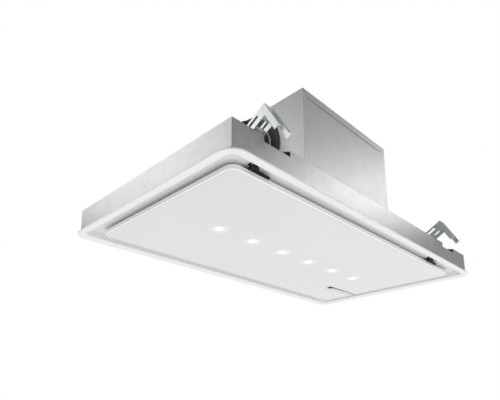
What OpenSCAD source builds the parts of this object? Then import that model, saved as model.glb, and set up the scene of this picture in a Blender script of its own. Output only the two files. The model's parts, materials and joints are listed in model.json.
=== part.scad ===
// Ceiling range hood: a flat steel body that sinks into a ceiling cut-out, a white trim frame,
// a hinged glass cover with air gaps all round it, six spot lights, two grease filters and a
// centrifugal fan in a raised motor box with a round duct collar on its side.
// Lengths are millimetres. The origin is the centre of the cut-out in the plane of the ceiling,
// +X runs along the hood, -Y is the side of the cover's hinges and +Z points into the ceiling.

/* [Trim frame] */
// Length of the trim frame over all
trim_len = 900; // [880:5:960]
// Width of the trim frame over all
trim_wid = 500; // [485:5:540]
// Height of the hood over all, from the lowest edge to the top of the motor box
hood_h = 299; // [294:1:330]
// Thickness of the outer edge below the ceiling
trim_edge = 4; // [3:0.5:6]
// Width of the visible strip, from the outer to the inner edge
trim_strip = 18; // [17:0.5:20]
// Depth of the strip's inner edge below the ceiling
trim_inner = 1; // [0.8:0.1:1.5]
// Radius of the outer corners
trim_corner = 32; // [26:1:40]
// Height of the rail on the strip that carries the steel walls and the recess tray
rail_h = 4; // [3.5:0.5:6]
// Width of that rail
rail_wid = 7; // [6.5:0.5:8]
// Bevel along the lower outer edge
edge_bevel = 1; // [0.5:0.1:2]

/* [Steel body] */
// Step from the trim frame's outer edge in to the steel walls
wall_inset = 12; // [11.5:0.5:12.5]
// Height of the steel walls above the ceiling
body_h = 54.7; // [52:0.5:62]
// Thickness of the sheet steel
sheet = 1.2; // [0.8:0.1:1.4]
// Distance from the steel wall's end to a clamp notch
notch_end = 71; // [66:1:74]
// Length of a clamp notch
notch_len = 65; // [58:1:68]
// Depth of a clamp notch in the wall
notch_depth = 11; // [8:0.5:12]
// Depth of the top plate's cut-out behind a notch
cutout_depth = 55; // [54:1:60]
// Bevel across one corner of that cut-out
cutout_bevel = 16; // [10:1:20]

/* [Motor box] */
// Length of the motor box
box_len = 335; // [328:1:350]
// Width of the motor box
box_wid = 330; // [320:1:345]
// Width of the folded rims round its two large openings
box_rim = 16; // [14:0.5:20]
// Width of the open folds at the rims' corners
fold_gap = 0.6; // [0.4:0.1:1]
// Side of the square air opening under the fan
inlet_side = 276; // [250:2:280]

/* [Duct collar] */
// Outer radius of the duct collar
duct_r = 75; // [70:0.5:76]
// Wall of the duct collar
duct_wall = 2.5; // [2:0.1:3]
// Height of the collar's axis above the ceiling
duct_z = 196; // [190:1:200]
// Length of the collar outside its base plate
duct_len = 29.5; // [27:0.5:40]
// Radius of the base plate
duct_base_r = 98; // [90:1:100]
// Thickness of the base plate
duct_base_t = 4; // [3:0.5:6]
// Width of the seal ring round the collar
seal_wid = 3; // [2:0.5:4]
// Thickness of the seal ring
seal_t = 1.6; // [1:0.1:2.5]
// Thickness of a non-return flap
flap_t = 1.5; // [1:0.1:1.6]
// Distance of each flap's pin from the collar's axis
flap_pin_y = 3.5; // [3.2:0.1:4.5]
// Radius of a flap's pin
flap_pin_r = 1.5; // [1:0.1:1.8]
// Wall of the knuckle round a flap's pin
flap_knuckle = 1.1; // [0.8:0.1:1.2]

/* [Fan] */
// Outer radius of the fan wheel
wheel_r = 70; // [62:1:72]
// Depth of the blades
blade_depth = 12; // [10:1:14]
// Number of blades
blade_count = 36; // [24:1:44]
// Width of the fan wheel
wheel_wid = 144; // [130:2:148]
// Width of the scroll casing
scroll_wid = 160; // [156:2:180]
// Smallest radius of the scroll
scroll_r = 79; // [78:0.5:81]
// Growth of the scroll's radius over its three quarter turns
scroll_grow = 30; // [24:1:32]
// Distance of the shaft from the middle of the motor box
shaft_x = 50; // [40:1:52]
// Radius of the casing's two air inlets
eye_r = 56; // [50:1:57]
// Radius of the motor
motor_r = 40; // [34:1:42]
// Radius of the shaft
shaft_r = 4; // [3:0.5:5]

/* [Recess] */
// Height of the shelf round the cover above the ceiling
shelf_z = 13; // [12.8:0.1:14]
// Width of that shelf
shelf_wid = 44; // [42:1:48]
// Height of the raised middle of the recess
dome_z = 32; // [30:1:34]
// Thickness of the recess sheet
tray_t = 1; // [0.8:0.1:1.2]

/* [Grease filters] */
// Length of one filter
filter_len = 262; // [240:1:264]
// Width of one filter
filter_wid = 284; // [270:1:286]
// Thickness of a filter
filter_t = 9; // [8:0.5:10]
// Width of a filter's frame
filter_rim = 12; // [10:1:16]
// Depth of the mesh pack in a filter
mesh_t = 5; // [3:0.5:6]
// Pitch of the openings in the mesh pack
mesh_pitch = 18; // [16:1:24]
// Width of the bars between those openings
mesh_bar = 4; // [3:0.5:5]
// Length of a filter's latch grip
grip_len = 72; // [60:1:90]

/* [Glass cover] */
// Air gap between the trim frame and the cover
air_gap = 27; // [25:0.5:29]
// Radius of the cover's corners
cover_corner = 18; // [12:1:24]
// Depth of the cover's outer face below the ceiling
cover_drop = 2.5; // [2:0.1:3]
// Thickness of the glass
glass_t = 4; // [3:0.5:4]
// Height of the steel back plate's rim
back_rim_h = 4; // [3.5:0.5:4.5]
// Thickness of the back plate
back_t = 1; // [0.8:0.1:1.2]

/* [Lights] */
// Number of spot lights
light_count = 6; // [4:2:6]
// Pitch of the spot lights
light_pitch = 100; // [90:1:110]
// Radius of a spot light's lens
lens_r = 10; // [8:0.5:12]
// Radius of a spot light's heat sink
sink_r = 15; // [14:0.5:17]
// Height of a heat sink
sink_h = 10; // [8:0.5:12]

/* [Controls] */
// Length of the control slot from the cover's right edge
slot_len = 130; // [120:1:134]
// Width of the control slot
slot_wid = 20; // [18:0.5:22]
// Distance of the slot's near edge from the cover's centre line
slot_y = 92; // [86:1:98]
// Depth by which the control strip lies behind the glass face
strip_depth = 2; // [1:0.1:2.5]
// Width of the dark groove beside the strip
groove_wid = 4; // [3:0.5:5]
// Distance from the slot's inner end to the strip
strip_gap = 13; // [10:0.5:15]
// Number of touch keys
key_count = 5; // [5:1:5]
// Pitch of the touch keys
key_pitch = 13.4; // [12:0.1:15]
// Length of a touch key
key_len = 10; // [8:0.5:11]
// Width of a touch key
key_wid = 8; // [6:0.5:10]
// Distance from the slot's inner end to the first key's centre
key_from = 27; // [22:0.5:30]
// Travel of a touch key
key_travel = 0.8; // [0.5:0.1:1]

/* [Cover hinges] */
// Distance from the cover's left edge to the left hinge
hinge_left_in = 32.5; // [27:0.5:43]
// Distance from the right hinge's left end to the cover's right edge
hinge_right_in = 135.5; // [120:0.5:145]
// Width of the hinge tongue that carries the pin
tongue_wid = 12; // [11:0.5:14]
// Reach of the tongue beyond the cover's edge
tongue_reach = 15.6; // [15:0.1:17]
// Reach of the hinge's low bar beyond the cover's edge
bar_reach = 6.5; // [5:0.5:8]
// Length of the low bar beyond the tongue's bevel
bar_len = 30; // [24:1:36]
// Thickness of the hinge leaf
leaf_t = 1.85; // [1.5:0.05:2]
// Radius of the hinge pin
hinge_pin_r = 1.5; // [1.2:0.1:1.6]
// Outer radius of the hinge knuckles
knuckle_r = 2.5; // [2.3:0.1:2.6]

/* [Ceiling clamps] */
// Angle of a clamp's leg above the level
clamp_tilt = 30; // [26:1:34]
// Height of a clamp's upper corner above the ceiling
clamp_top = 117; // [114:1:122]
// Distance of that corner beyond the steel wall, towards the hood's middle
clamp_corner_in = 2; // [1:0.5:4]
// Length of a clamp's leg
leg_len = 56; // [50:1:57]
// Width of a clamp's leg
leg_wid = 21; // [18:0.5:22]
// Length of a clamp's arm
arm_len = 61.8; // [56:0.5:64]
// Width of a clamp's arm
arm_wid = 10.5; // [9:0.5:12]
// Extra length of the arm with the foot
foot_extra = 9; // [6:0.5:10]
// Width of a clamp over its two plates
clamp_wid = 26.5; // [25:0.5:28]
// Thickness of a clamp's plates
clamp_t = 1.5; // [1.2:0.1:2]
// Distance of the slot's middle line from the leg's upper edge
slot_in = 8; // [7:0.5:9]
// Radius of a clamp's screw
screw_r = 3; // [2.5:0.25:3]
// Travel of a clamp along its screw
clamp_travel = 44; // [30:1:44]

/* [Wiring] */
// Length of the wiring box
wiring_len = 118; // [100:1:130]
// Width of the wiring box
wiring_wid = 120; // [100:1:150]
// Height of the wiring box
wiring_h = 38; // [34:1:46]
// Wall of the wiring box
wiring_wall = 2; // [1.5:0.1:3]
// Radius of the hole for the supply cable
cable_r = 4.5; // [3.5:0.25:5]
// Length of the cable gland
gland_len = 22; // [18:1:28]

/* [Hidden] */

// Overrun of every cut, running clearance on a radius and the gap between loose neighbours
over = 2;
run = 0.05;
gap = 0.3;
// Facets of large, middling and small round forms
fine = 128;
round = 64;
small = 32;

// Heights and half sizes that several pieces share
rebate = 0.4;
box_top = hood_h - trim_edge;
box_x = box_len / 2;
box_y = box_wid / 2;
wall_x = trim_len / 2 - wall_inset;
wall_y = trim_wid / 2 - wall_inset;
duct_bore = duct_r - duct_wall;
duct_root_r = duct_r - duct_wall / 2;
notch_from = wall_x - notch_end - notch_len;
cover_len = trim_len - 2 * (trim_strip + air_gap);
cover_wid = trim_wid - 2 * (trim_strip + air_gap);
cover_x = cover_len / 2;
cover_y = cover_wid / 2;
cover_face = -cover_drop;
glass_top = cover_face + glass_t;
back_top = glass_top + back_t;
rim_top = glass_top + back_rim_h;
dome_x = trim_len / 2 - trim_strip - shelf_wid;
dome_y = trim_wid / 2 - trim_strip - shelf_wid;
dome_corner = 10;

// Angle at which the rims of the motor box meet
mitre = 45;

// Screws with pan heads
pan_r = 3.2;
pan_h = 1.8;
pan_slot = 0.9;
screw_apart = 90;

// Fan casing: the outlet is a rectangle as high as the collar's bore
case_t = 1;
scroll_top = duct_z + duct_r;
scroll_steps = 36;
shaft_z = scroll_top - scroll_r - scroll_grow;
outlet_low = duct_z - duct_r;
ring_wid = 4;
blade_arc_share = 1.1;
blade_in = 1;
plate_t = 3;
hub_r = 12;
hub_len = 14;
shaft_tail = 16;
shaft_end = 4;
motor_gap = 5;
motor_len = 84;
motor_boss = 1.5;
vent_share = 0.65;
vent_depth = 2;
spider_t = 2.5;
spider_wid = 12;
spider_leg = 6;
bell_r = 7;
foot_half = 30;
foot_h = 6;

// Non-return flaps, closed against a ledge in the collar
flap_in = 14;
flap_x = -box_x - duct_base_t - flap_in;
flap_edge = 1;
flap_relief = 10;
spigot_gap = 0.5;
spigot_len = duct_len - seal_wid - spigot_gap;
ledge_t = 1.5;
ledge_in = 2.5;
boss_wid = 14;
boss_len = 6;
boss_h = 5;
screw_circle_in = 10;

// Plenum sleeve between the recess and the top plate
sleeve_gap = 2;
sleeve_ledge = 10;
open_x = filter_len + gap;
open_y = filter_wid / 2 + gap;
sleeve_x = open_x + sleeve_gap;
sleeve_y = open_y + sleeve_gap;
filter_drop = 2;
filter_z = dome_z - filter_drop;
latch_z = dome_z + tray_t + gap;
bolt_len = 40;
bolt_h = 3;
bolt_reach = 5;
bolt_in = 2;
bolt_slot = 10;
notch_in = 12;
grip_h = 5;

// Touch keys
strip_face = cover_face + strip_depth;
key_y = slot_y + groove_wid + (slot_wid - groove_wid - gap) / 2;
key_proud = 0.3;
key_slack = 0.1;
housing_t = 1.5;
housing_edge = 8;
housing_h = 6.5;

// Lamps and catches on the cover
lens_flange = 2;
sink_groove = 1;
sink_groove_depth = 3;
magnet_in = 105;
magnet_x = cover_x - magnet_in;
magnet_len = 44;
magnet_wid = 12;
strike_t = 1.5;

// Cover hinges
hinge_xs = [hinge_left_in - cover_x, cover_x - hinge_right_in];
pin_in = 4.6;
pin_drop = 3;
pin_y = -cover_y - tongue_reach + pin_in;
pin_z = shelf_z - pin_drop;
leaf_foot = 18;
ear_t = 3;
arm_reach = 9;
arm_lift = 0.6;
foot_t = 1.5;
foot_wid = 18;
foot_side = 12;
window_left = 1.5;
window_right = 3.5;
window_y = [7.8, 10.4];

// Ceiling clamps: the leg's slot, the turned edges and the screw
clamp_mid = clamp_wid / 2;
clamp_from = 2;
slot_w = 6;
slot_from = 24;
flange = 6;
clamp_screw_in = 31;
saddle_z = 84;
saddle_t = 3;
nut_r = 7;
nut_h = 8;
nut_boss_r = 4.6;
screw_top = 89;
screw_collar = 2;
socket_r = 1.5;
socket_h = 4;
base_r = 6.5;
base_h = 7;
base_flange = 1.5;
base_top = shelf_z + tray_t + base_h;
stop_top = saddle_z - nut_h - clamp_travel - gap;

// Wiring box beside the motor box
wiring_edge = 26;
wiring_x = box_x + wiring_edge;
gland_r = 8;
gland_flange = 2;
gland_flange_t = 5;
gland_z = body_h + wiring_h / 2;
lid_t = 2;
board_edge = 8;
board_stand = 5;
board_t = 1.6;
relay_len = 32;
relay_h = 15;
cap_r = 9;
cap_len = 48;

// Rectangle with round corners, from exact arcs
module rounded_rect(len, wid, r) {
    square([len - 2 * r, wid], center = true);
    square([len, wid - 2 * r], center = true);
    for (x = [-1, 1], y = [-1, 1])
        translate([x * (len / 2 - r), y * (wid / 2 - r)]) circle(r = r, $fn = round);
}

// Flat plate with round corners between two heights
module plate(len, wid, r, z0, z1) {
    translate([0, 0, z0]) linear_extrude(z1 - z0) rounded_rect(len, wid, r);
}

// Box between two opposite corners
module block(low, high) {
    translate(low) cube(high - low);
}

// Profile swept round a rectangle with round corners. Its x runs inwards from the edge, its y up.
module rim_sweep(len, wid, r) {
    for (turn = [0, 180]) rotate([0, 0, turn]) {
        translate([-len / 2 + r, -wid / 2, 0]) rotate([90, 0, 90]) linear_extrude(len - 2 * r) children();
        rotate([0, 0, 90]) translate([-wid / 2 + r, -len / 2, 0]) rotate([90, 0, 90])
            linear_extrude(wid - 2 * r) children();
        translate([-len / 2 + r, -wid / 2 + r, 0]) rotate([0, 0, 180])
            rotate_extrude(angle = 90, $fn = fine) translate([r, 0]) mirror([1, 0]) children();
        translate([len / 2 - r, -wid / 2 + r, 0]) rotate([0, 0, 270])
            rotate_extrude(angle = 90, $fn = fine) translate([r, 0]) mirror([1, 0]) children();
    }
}

// Cylinder along X or Y
module rod_x(x0, x1, y, z, r) {
    translate([x0, y, z]) rotate([0, 90, 0]) cylinder(r = r, h = x1 - x0, $fn = round);
}

module rod_y(y0, y1, x, z, r) {
    translate([x, y1, z]) rotate([90, 0, 0]) cylinder(r = r, h = y1 - y0, $fn = round);
}

// Pan head screw that stands on z = 0
module pan_head() {
    difference() {
        cylinder(r = pan_r, h = pan_h, $fn = small);
        translate([-pan_r - over, -pan_slot / 2, pan_h / 2]) cube([2 * (pan_r + over), pan_slot, pan_h]);
    }
}

// The four clamp stations: turn is 0 on the hinge side and 180 opposite, side is -1 left, 1 right
module at_notch(turn, side) {
    start = side < 0 ? -notch_from - notch_len : notch_from;
    rotate([0, 0, turn]) translate([start, -wall_y, 0]) children();
}

module at_notches() {
    for (turn = [0, 180], side = [-1, 1]) at_notch(turn, side) children();
}

// White strip that covers the edge of the cut-out
module trim_frame() color("whitesmoke") {
    rim_sweep(trim_len, trim_wid, trim_corner)
        polygon([[0, 0], [0, edge_bevel - trim_edge], [edge_bevel, -trim_edge], [trim_strip, -trim_inner],
            [trim_strip, -rebate], [trim_strip - rail_wid, -rebate], [trim_strip - rail_wid, 0]]);
}

// Steel rail in a shallow rebate along the strip's inner edge
module frame_rail() color("whitesmoke") {
    rim_sweep(trim_len, trim_wid, trim_corner)
        polygon([[trim_strip - rail_wid, -rebate], [trim_strip, -rebate], [trim_strip, rail_h],
            [trim_strip - rail_wid, rail_h]]);
}

// White pan above the cover: a rim on the rail and a shelf round the cover
module recess_tray() color("gainsboro") {
    wall_len = trim_len - 2 * trim_strip;
    wall_wid = trim_wid - 2 * trim_strip;
    wall_r = trim_corner - trim_strip;
    difference() {
        plate(wall_len + 2 * tray_t, wall_wid + 2 * tray_t, wall_r + tray_t, rail_h, shelf_z + tray_t);
        plate(wall_len, wall_wid, wall_r, -over, shelf_z);
        plate(2 * dome_x, 2 * dome_y, dome_corner, -over, shelf_z + over);
        at_notches() translate([clamp_from + clamp_mid, clamp_screw_in, 0])
            cylinder(r = screw_r + gap, h = shelf_z + over, $fn = round);
        for (x = hinge_xs) translate([x, pin_y, 0])
            block([-window_left, -window_y[0], shelf_z - over],
                [tongue_wid + window_right, window_y[1], shelf_z + over]);
    }
}

// Raised middle of the recess, a sheet hood on the shelf with the opening for the filters
module filter_tray() color("gainsboro") {
    difference() {
        plate(2 * (dome_x + tray_t), 2 * (dome_y + tray_t), dome_corner + tray_t, shelf_z + tray_t,
            dome_z + tray_t);
        plate(2 * dome_x, 2 * dome_y, dome_corner, shelf_z, dome_z);
        block([-open_x, -open_y, dome_z - over], [open_x, open_y, dome_z + over]);
    }
}

// Folded steel walls round the body, notched for the clamps
module housing_walls() color("silver") {
    difference() {
        block([-wall_x, -wall_y, rail_h], [wall_x, wall_y, body_h]);
        block([-wall_x + sheet, -wall_y + sheet, 0], [wall_x - sheet, wall_y - sheet, body_h + over]);
        at_notches() block([0, -over, body_h - notch_depth], [notch_len, sheet + over, body_h + over]);
    }
}

// Steel top plate between the walls, with the fan's air opening and the clamp cut-outs
module top_plate() color("silver") {
    difference() {
        block([-wall_x + sheet, -wall_y + sheet, body_h - sheet], [wall_x - sheet, wall_y - sheet, body_h]);
        block([-inlet_side / 2, -inlet_side / 2, body_h - sheet - over],
            [inlet_side / 2, inlet_side / 2, body_h + over]);
        at_notches() translate([0, 0, body_h - sheet - over]) linear_extrude(sheet + 2 * over)
            polygon([[0, 0], [notch_len, 0], [notch_len, sheet],
                [notch_len - cutout_bevel, cutout_bevel + sheet],
                [notch_len - cutout_bevel, cutout_depth], [0, cutout_depth]]);
    }
}

// Two sides and the top of the motor box in one folded sheet, with mitred rims front and back
module box_wrap() color("lightgray") {
    difference() {
        block([-box_x, -box_y, body_h], [box_x, box_y, box_top]);
        block([-box_x + sheet, -box_y + sheet, body_h - over],
            [box_x - sheet, box_y - sheet, box_top - sheet]);
        block([-box_x + box_rim, -box_y - over, body_h - over],
            [box_x - box_rim, box_y + over, box_top - box_rim]);
        for (side = [-1, 1], face = [-1, 1])
            translate([side * box_x, face * (box_y - sheet / 2), box_top]) rotate([0, side * mitre, 0])
                block([-fold_gap / 2, -sheet, -box_rim / cos(mitre) - fold_gap],
                    [fold_gap / 2, sheet, -sheet]);
        rod_x(-box_x - over, -box_x + over, 0, duct_z, duct_r + gap);
    }
}

// Front and back plates behind the folded rims
module box_panel(face) {
    scale([1, face, 1]) block([-box_x + sheet, box_y - 2 * sheet, body_h],
        [box_x - sheet, box_y - sheet, box_top - sheet]);
}

module box_front_panel() color("lightgray") box_panel(-1);

module box_back_panel() color("lightgray") box_panel(1);

// Base plate of the duct collar on the box's left side
module duct_base() color("dimgray") {
    difference() {
        rod_x(-box_x - duct_base_t, -box_x, 0, duct_z, duct_base_r);
        rod_x(-box_x - duct_base_t - over, -box_x + over, 0, duct_z, duct_root_r + run);
    }
}

// Round duct collar with the ledge that the flaps close against and bosses for their pins
module duct_collar() color("darkslategray") {
    mouth = -box_x - duct_base_t - duct_len;
    difference() {
        union() {
            rod_x(mouth, mouth + spigot_len, 0, duct_z, duct_r);
            rod_x(mouth + over, -box_x + sheet, 0, duct_z, duct_root_r);
        }
        rod_x(mouth - over, -box_x + sheet + over, 0, duct_z, duct_bore);
    }
    difference() {
        rod_x(flap_x + flap_t / 2 + gap, flap_x + flap_t / 2 + gap + ledge_t, 0, duct_z, duct_bore + run);
        rod_x(flap_x, flap_x + flap_t + gap + ledge_t + over, 0, duct_z, duct_bore - ledge_in);
        flap_bores();
    }
    intersection() {
        rod_x(flap_x - boss_len / 2, flap_x + boss_len / 2, 0, duct_z, duct_bore + run);
        difference() {
            block([flap_x - boss_len / 2, -boss_wid / 2, duct_z - duct_r],
                [flap_x + boss_len / 2, boss_wid / 2, duct_z + duct_r]);
            block([flap_x - boss_len, -boss_wid, duct_z - duct_bore + boss_h],
                [flap_x + boss_len, boss_wid, duct_z + duct_bore - boss_h]);
            flap_bores();
        }
    }
}

// Bores for the two flap pins
module flap_bores() {
    for (side = [-1, 1]) translate([flap_x, side * flap_pin_y, duct_z - duct_r])
        cylinder(r = flap_pin_r + run, h = 2 * duct_r, $fn = round);
}

// Pale seal ring at the collar's root
module duct_seal() color("whitesmoke") {
    difference() {
        rod_x(-box_x - duct_base_t - seal_wid, -box_x - duct_base_t, 0, duct_z, duct_r + seal_t);
        rod_x(-box_x - duct_base_t - seal_wid - over, -box_x, 0, duct_z, duct_root_r);
    }
}

// Half round non-return flap with a knuckle along its straight edge
module flap(side) {
    reach = duct_bore - boss_h - gap;
    difference() {
        union() {
            intersection() {
                rod_x(flap_x - flap_t / 2, flap_x + flap_t / 2, 0, duct_z, duct_bore - flap_edge);
                scale([1, side, 1]) block([flap_x - flap_t, flap_pin_y, duct_z - duct_r],
                    [flap_x + flap_t, duct_r, duct_z + duct_r]);
            }
            translate([flap_x, side * flap_pin_y, duct_z - reach])
                cylinder(r = flap_pin_r + flap_knuckle, h = 2 * reach, $fn = round);
        }
        for (end = [-1, 1])
            translate([flap_x, 0, duct_z + end * (reach + duct_r)])
                cube([2 * boss_len, 2 * flap_relief, 2 * duct_r], center = true);
        translate([flap_x, side * flap_pin_y, duct_z - duct_r])
            cylinder(r = flap_pin_r + run, h = 2 * duct_r, $fn = round);
    }
}

module flap_front() color("dimgray") flap(-1);

module flap_back() color("dimgray") flap(1);

module flap_pins() color("silver") {
    side_y = flap_pin_y + flap_pin_r;
    half = sqrt(duct_bore * duct_bore - side_y * side_y) - run;
    for (side = [-1, 1]) translate([flap_x, side * flap_pin_y, duct_z - half])
        cylinder(r = flap_pin_r, h = 2 * half, $fn = round);
}

// Scroll round the shaft, drawn in X and Z: three quarter turns of a spiral and a tapering outlet
module scroll_outline(inset) {
    wall = -box_x + sheet - shaft_x - (inset > 0 ? over : 0);
    top = scroll_r + scroll_grow - inset;
    polygon(concat(
        [for (i = [0:scroll_steps]) let (turn = 180 + 270 * i / scroll_steps,
            r = scroll_r + scroll_grow * i / scroll_steps - inset) [r * cos(turn), r * sin(turn)]],
        [[wall, top], [wall, outlet_low - shaft_z + inset]],
        inset > 0 ? [[inset - scroll_r, inset]] : []));
}

// Fan casing of sheet steel: a wrap between two side plates with round inlets
module scroll_casing() color("darkgray") {
    translate([shaft_x, 0, shaft_z]) rotate([90, 0, 0]) difference() {
        translate([0, 0, -scroll_wid / 2]) linear_extrude(scroll_wid) scroll_outline(0);
        translate([0, 0, case_t - scroll_wid / 2]) linear_extrude(scroll_wid - 2 * case_t)
            scroll_outline(case_t);
        translate([0, 0, -scroll_wid]) cylinder(r = eye_r, h = 2 * scroll_wid, $fn = fine);
    }
}

// Bell mouths round the casing's inlets
module inlet_rings() color("silver") {
    for (face = [-1, 1]) translate([shaft_x, face * scroll_wid / 2, shaft_z]) rotate([-face * 90, 0, 0])
        rotate_extrude($fn = fine) intersection() {
            translate([eye_r, 0]) square(bell_r);
            difference() {
                translate([eye_r + bell_r, 0]) circle(r = bell_r, $fn = round);
                translate([eye_r + bell_r, 0]) circle(r = bell_r - case_t, $fn = round);
            }
        }
}

// Fan wheel with curved blades between two rings and a middle disc
module fan_wheel() color("dimgray") {
    blade_r = blade_depth * blade_arc_share;
    translate([shaft_x, 0, shaft_z]) rotate([90, 0, 0]) difference() {
        union() {
            for (i = [0:blade_count - 1]) rotate([0, 0, i * 360 / blade_count])
                translate([wheel_r - blade_in - blade_r, -blade_r / 2, -wheel_wid / 2])
                    linear_extrude(wheel_wid) intersection() {
                        difference() {
                            circle(r = blade_r, $fn = small);
                            circle(r = blade_r - case_t, $fn = small);
                        }
                        square(blade_r);
                    }
            for (end = [-1, 1]) translate([0, 0, end * (wheel_wid - ring_wid) / 2 - ring_wid / 2])
                linear_extrude(ring_wid) difference() {
                    circle(r = wheel_r, $fn = fine);
                    circle(r = wheel_r - blade_r - blade_in, $fn = fine);
                }
            translate([0, 0, -plate_t / 2]) cylinder(r = wheel_r, h = plate_t, $fn = fine);
            cylinder(r = hub_r, h = hub_len, $fn = round);
        }
        translate([0, 0, -wheel_wid]) cylinder(r = shaft_r + run, h = 2 * wheel_wid, $fn = round);
    }
}

// Shaft of the fan wheel, carried in the motor
module fan_shaft() color("silver") {
    rod_y(-shaft_tail, motor_gap + motor_len - shaft_end, shaft_x, shaft_z, shaft_r);
}

module fan_motor() color("gray") {
    start = plate_t / 2 + motor_gap;
    difference() {
        union() {
            rod_y(start, start + motor_len, shaft_x, shaft_z, motor_r);
            rod_y(start - motor_boss, start + over, shaft_x, shaft_z, hub_r);
        }
        rod_y(0, start + motor_len - shaft_end, shaft_x, shaft_z, shaft_r + run);
        for (turn = [0:60:300]) translate([shaft_x, 0, shaft_z]) rotate([0, turn, 0])
            rod_y(start + motor_len - vent_depth, start + motor_len + over, vent_share * motor_r, 0,
                shaft_r);
    }
}

// Three armed bracket that holds the motor in the back inlet
module motor_bracket() color("silver") {
    reach = eye_r + bell_r + spider_leg + gap;
    translate([shaft_x, scroll_wid / 2 + bell_r, shaft_z]) rotate([-90, 0, 0]) {
        linear_extrude(spider_t) difference() {
            union() {
                circle(r = motor_r + spider_wid / 2, $fn = fine);
                for (turn = [30, 150, 270]) rotate(turn)
                    translate([0, -spider_wid / 2]) square([reach + spider_leg, spider_wid]);
            }
            circle(r = motor_r + run, $fn = fine);
        }
        for (turn = [30, 150, 270]) rotate([0, 0, turn]) translate([reach, -spider_wid / 2, -bell_r])
            cube([spider_leg, spider_wid, bell_r + spider_t / 2]);
    }
}

// Foot that holds the casing to the box's right side
module fan_bracket() color("silver") {
    difference() {
        block([shaft_x + scroll_r, -foot_half, shaft_z - foot_h],
            [box_x - sheet, foot_half, shaft_z + foot_h]);
        translate([shaft_x, 0, shaft_z]) rotate([90, 0, 0]) translate([0, 0, -scroll_wid / 2])
            linear_extrude(scroll_wid) scroll_outline(0);
    }
}

// Box for the supply terminals and the control board on the top plate
module wiring_box() color("darkgray") {
    y1 = wiring_wid / 2;
    translate([wiring_x, 0, 0]) difference() {
        block([0, -y1, body_h], [wiring_len, y1, body_h + wiring_h]);
        block([wiring_wall, wiring_wall - y1, body_h + wiring_wall],
            [wiring_len - wiring_wall, y1 - wiring_wall, body_h + wiring_h + over]);
        rod_y(y1 - wiring_wall - over, y1 + over, wiring_len / 2, gland_z, gland_r + run);
    }
}

module wiring_lid() color("darkgray") {
    translate([wiring_x, -wiring_wid / 2, body_h + wiring_h]) cube([wiring_len, wiring_wid, lid_t]);
}

// Control board on four stand-offs with its larger parts
module circuit_board() color("darkgreen") {
    x0 = wiring_x + board_edge;
    x1 = wiring_x + wiring_len - board_edge;
    y1 = wiring_wid / 2 - board_edge;
    z0 = body_h + wiring_wall;
    block([x0, -y1, z0 + board_stand], [x1, y1, z0 + board_stand + board_t]);
    for (x = [x0, x1 - board_stand], y = [-y1, y1 - board_stand])
        block([x, y, z0], [x + board_stand, y + board_stand, z0 + board_stand]);
    block([x0 + board_edge, board_edge - y1, z0 + board_stand],
        [x0 + board_edge + relay_len, 0, z0 + board_stand + board_t + relay_h]);
}

// Motor capacitor, lying on the board
module capacitor() color("whitesmoke") {
    x1 = wiring_x + wiring_len - board_edge;
    rod_x(x1 - cap_len, x1, -wiring_wid / 4, body_h + wiring_wall + board_stand + board_t + cap_r, cap_r);
}

// Gland for the supply cable on the wiring box's back
module cable_gland() color("black") {
    y = wiring_wid / 2;
    translate([wiring_x + wiring_len / 2, 0, 0]) difference() {
        union() {
            rod_y(y - wiring_wall, y + gland_len - wiring_wall, 0, gland_z, gland_r);
            rod_y(y, y + gland_flange_t, 0, gland_z, gland_r + gland_flange);
        }
        rod_y(y - wiring_wall - over, y + gland_len + over, 0, gland_z, cable_r);
    }
}

// Sheet sleeve that leads the air from the filters up to the box, with a ledge over the filters
module plenum_sleeve() color("silver") {
    low = dome_z + tray_t;
    ledge = filter_z + filter_t + gap;
    outer_x = sleeve_x + sheet;
    outer_y = sleeve_y + sheet;
    half = bolt_len / 2 + 2 * gap;
    difference() {
        union() {
            difference() {
                block([-outer_x, -outer_y, low], [outer_x, outer_y, body_h - sheet]);
                block([-sleeve_x, -sleeve_y, low - over], [sleeve_x, sleeve_y, body_h]);
            }
            difference() {
                block([-outer_x, -outer_y, ledge], [outer_x, outer_y, ledge + sheet]);
                block([-open_x + sleeve_ledge, -open_y + sleeve_ledge, ledge - over],
                    [open_x - sleeve_ledge, open_y - sleeve_ledge, ledge + over]);
            }
        }
        for (side = [-1, 1], face = [-1, 1]) translate([side * filter_len / 2, face * sleeve_y, 0])
            block([-half, -bolt_slot, low - over], [half, bolt_slot, latch_z + bolt_h + gap]);
    }
}

// Grease filter: a frame with hooks on the far side, a mesh pack and a sprung latch
module filter_frame(side) {
    z1 = filter_z + filter_t;
    y1 = filter_wid / 2;
    half = (filter_len - gap) / 2;
    bolt = bolt_len / 2;
    grip = grip_len / 2 + gap;
    translate([side * filter_len / 2, 0, 0]) {
        difference() {
            block([-half, -y1, filter_z], [half, y1, z1]);
            block([-half + filter_rim, filter_rim - y1, filter_z - over],
                [half - filter_rim, y1 - filter_rim, z1 + over]);
            block([-bolt - gap, -y1 - over, latch_z - gap],
                [bolt + gap, notch_in + gap - y1, latch_z + bolt_h + gap]);
            block([-grip, bolt_in - y1, filter_z - over], [grip, notch_in + gap - y1, latch_z]);
        }
        block([-bolt, y1, latch_z], [bolt, y1 + bolt_reach, latch_z + bolt_h]);
    }
}

module filter_frame_left() color("silver") filter_frame(-1);

module filter_frame_right() color("silver") filter_frame(1);

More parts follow.
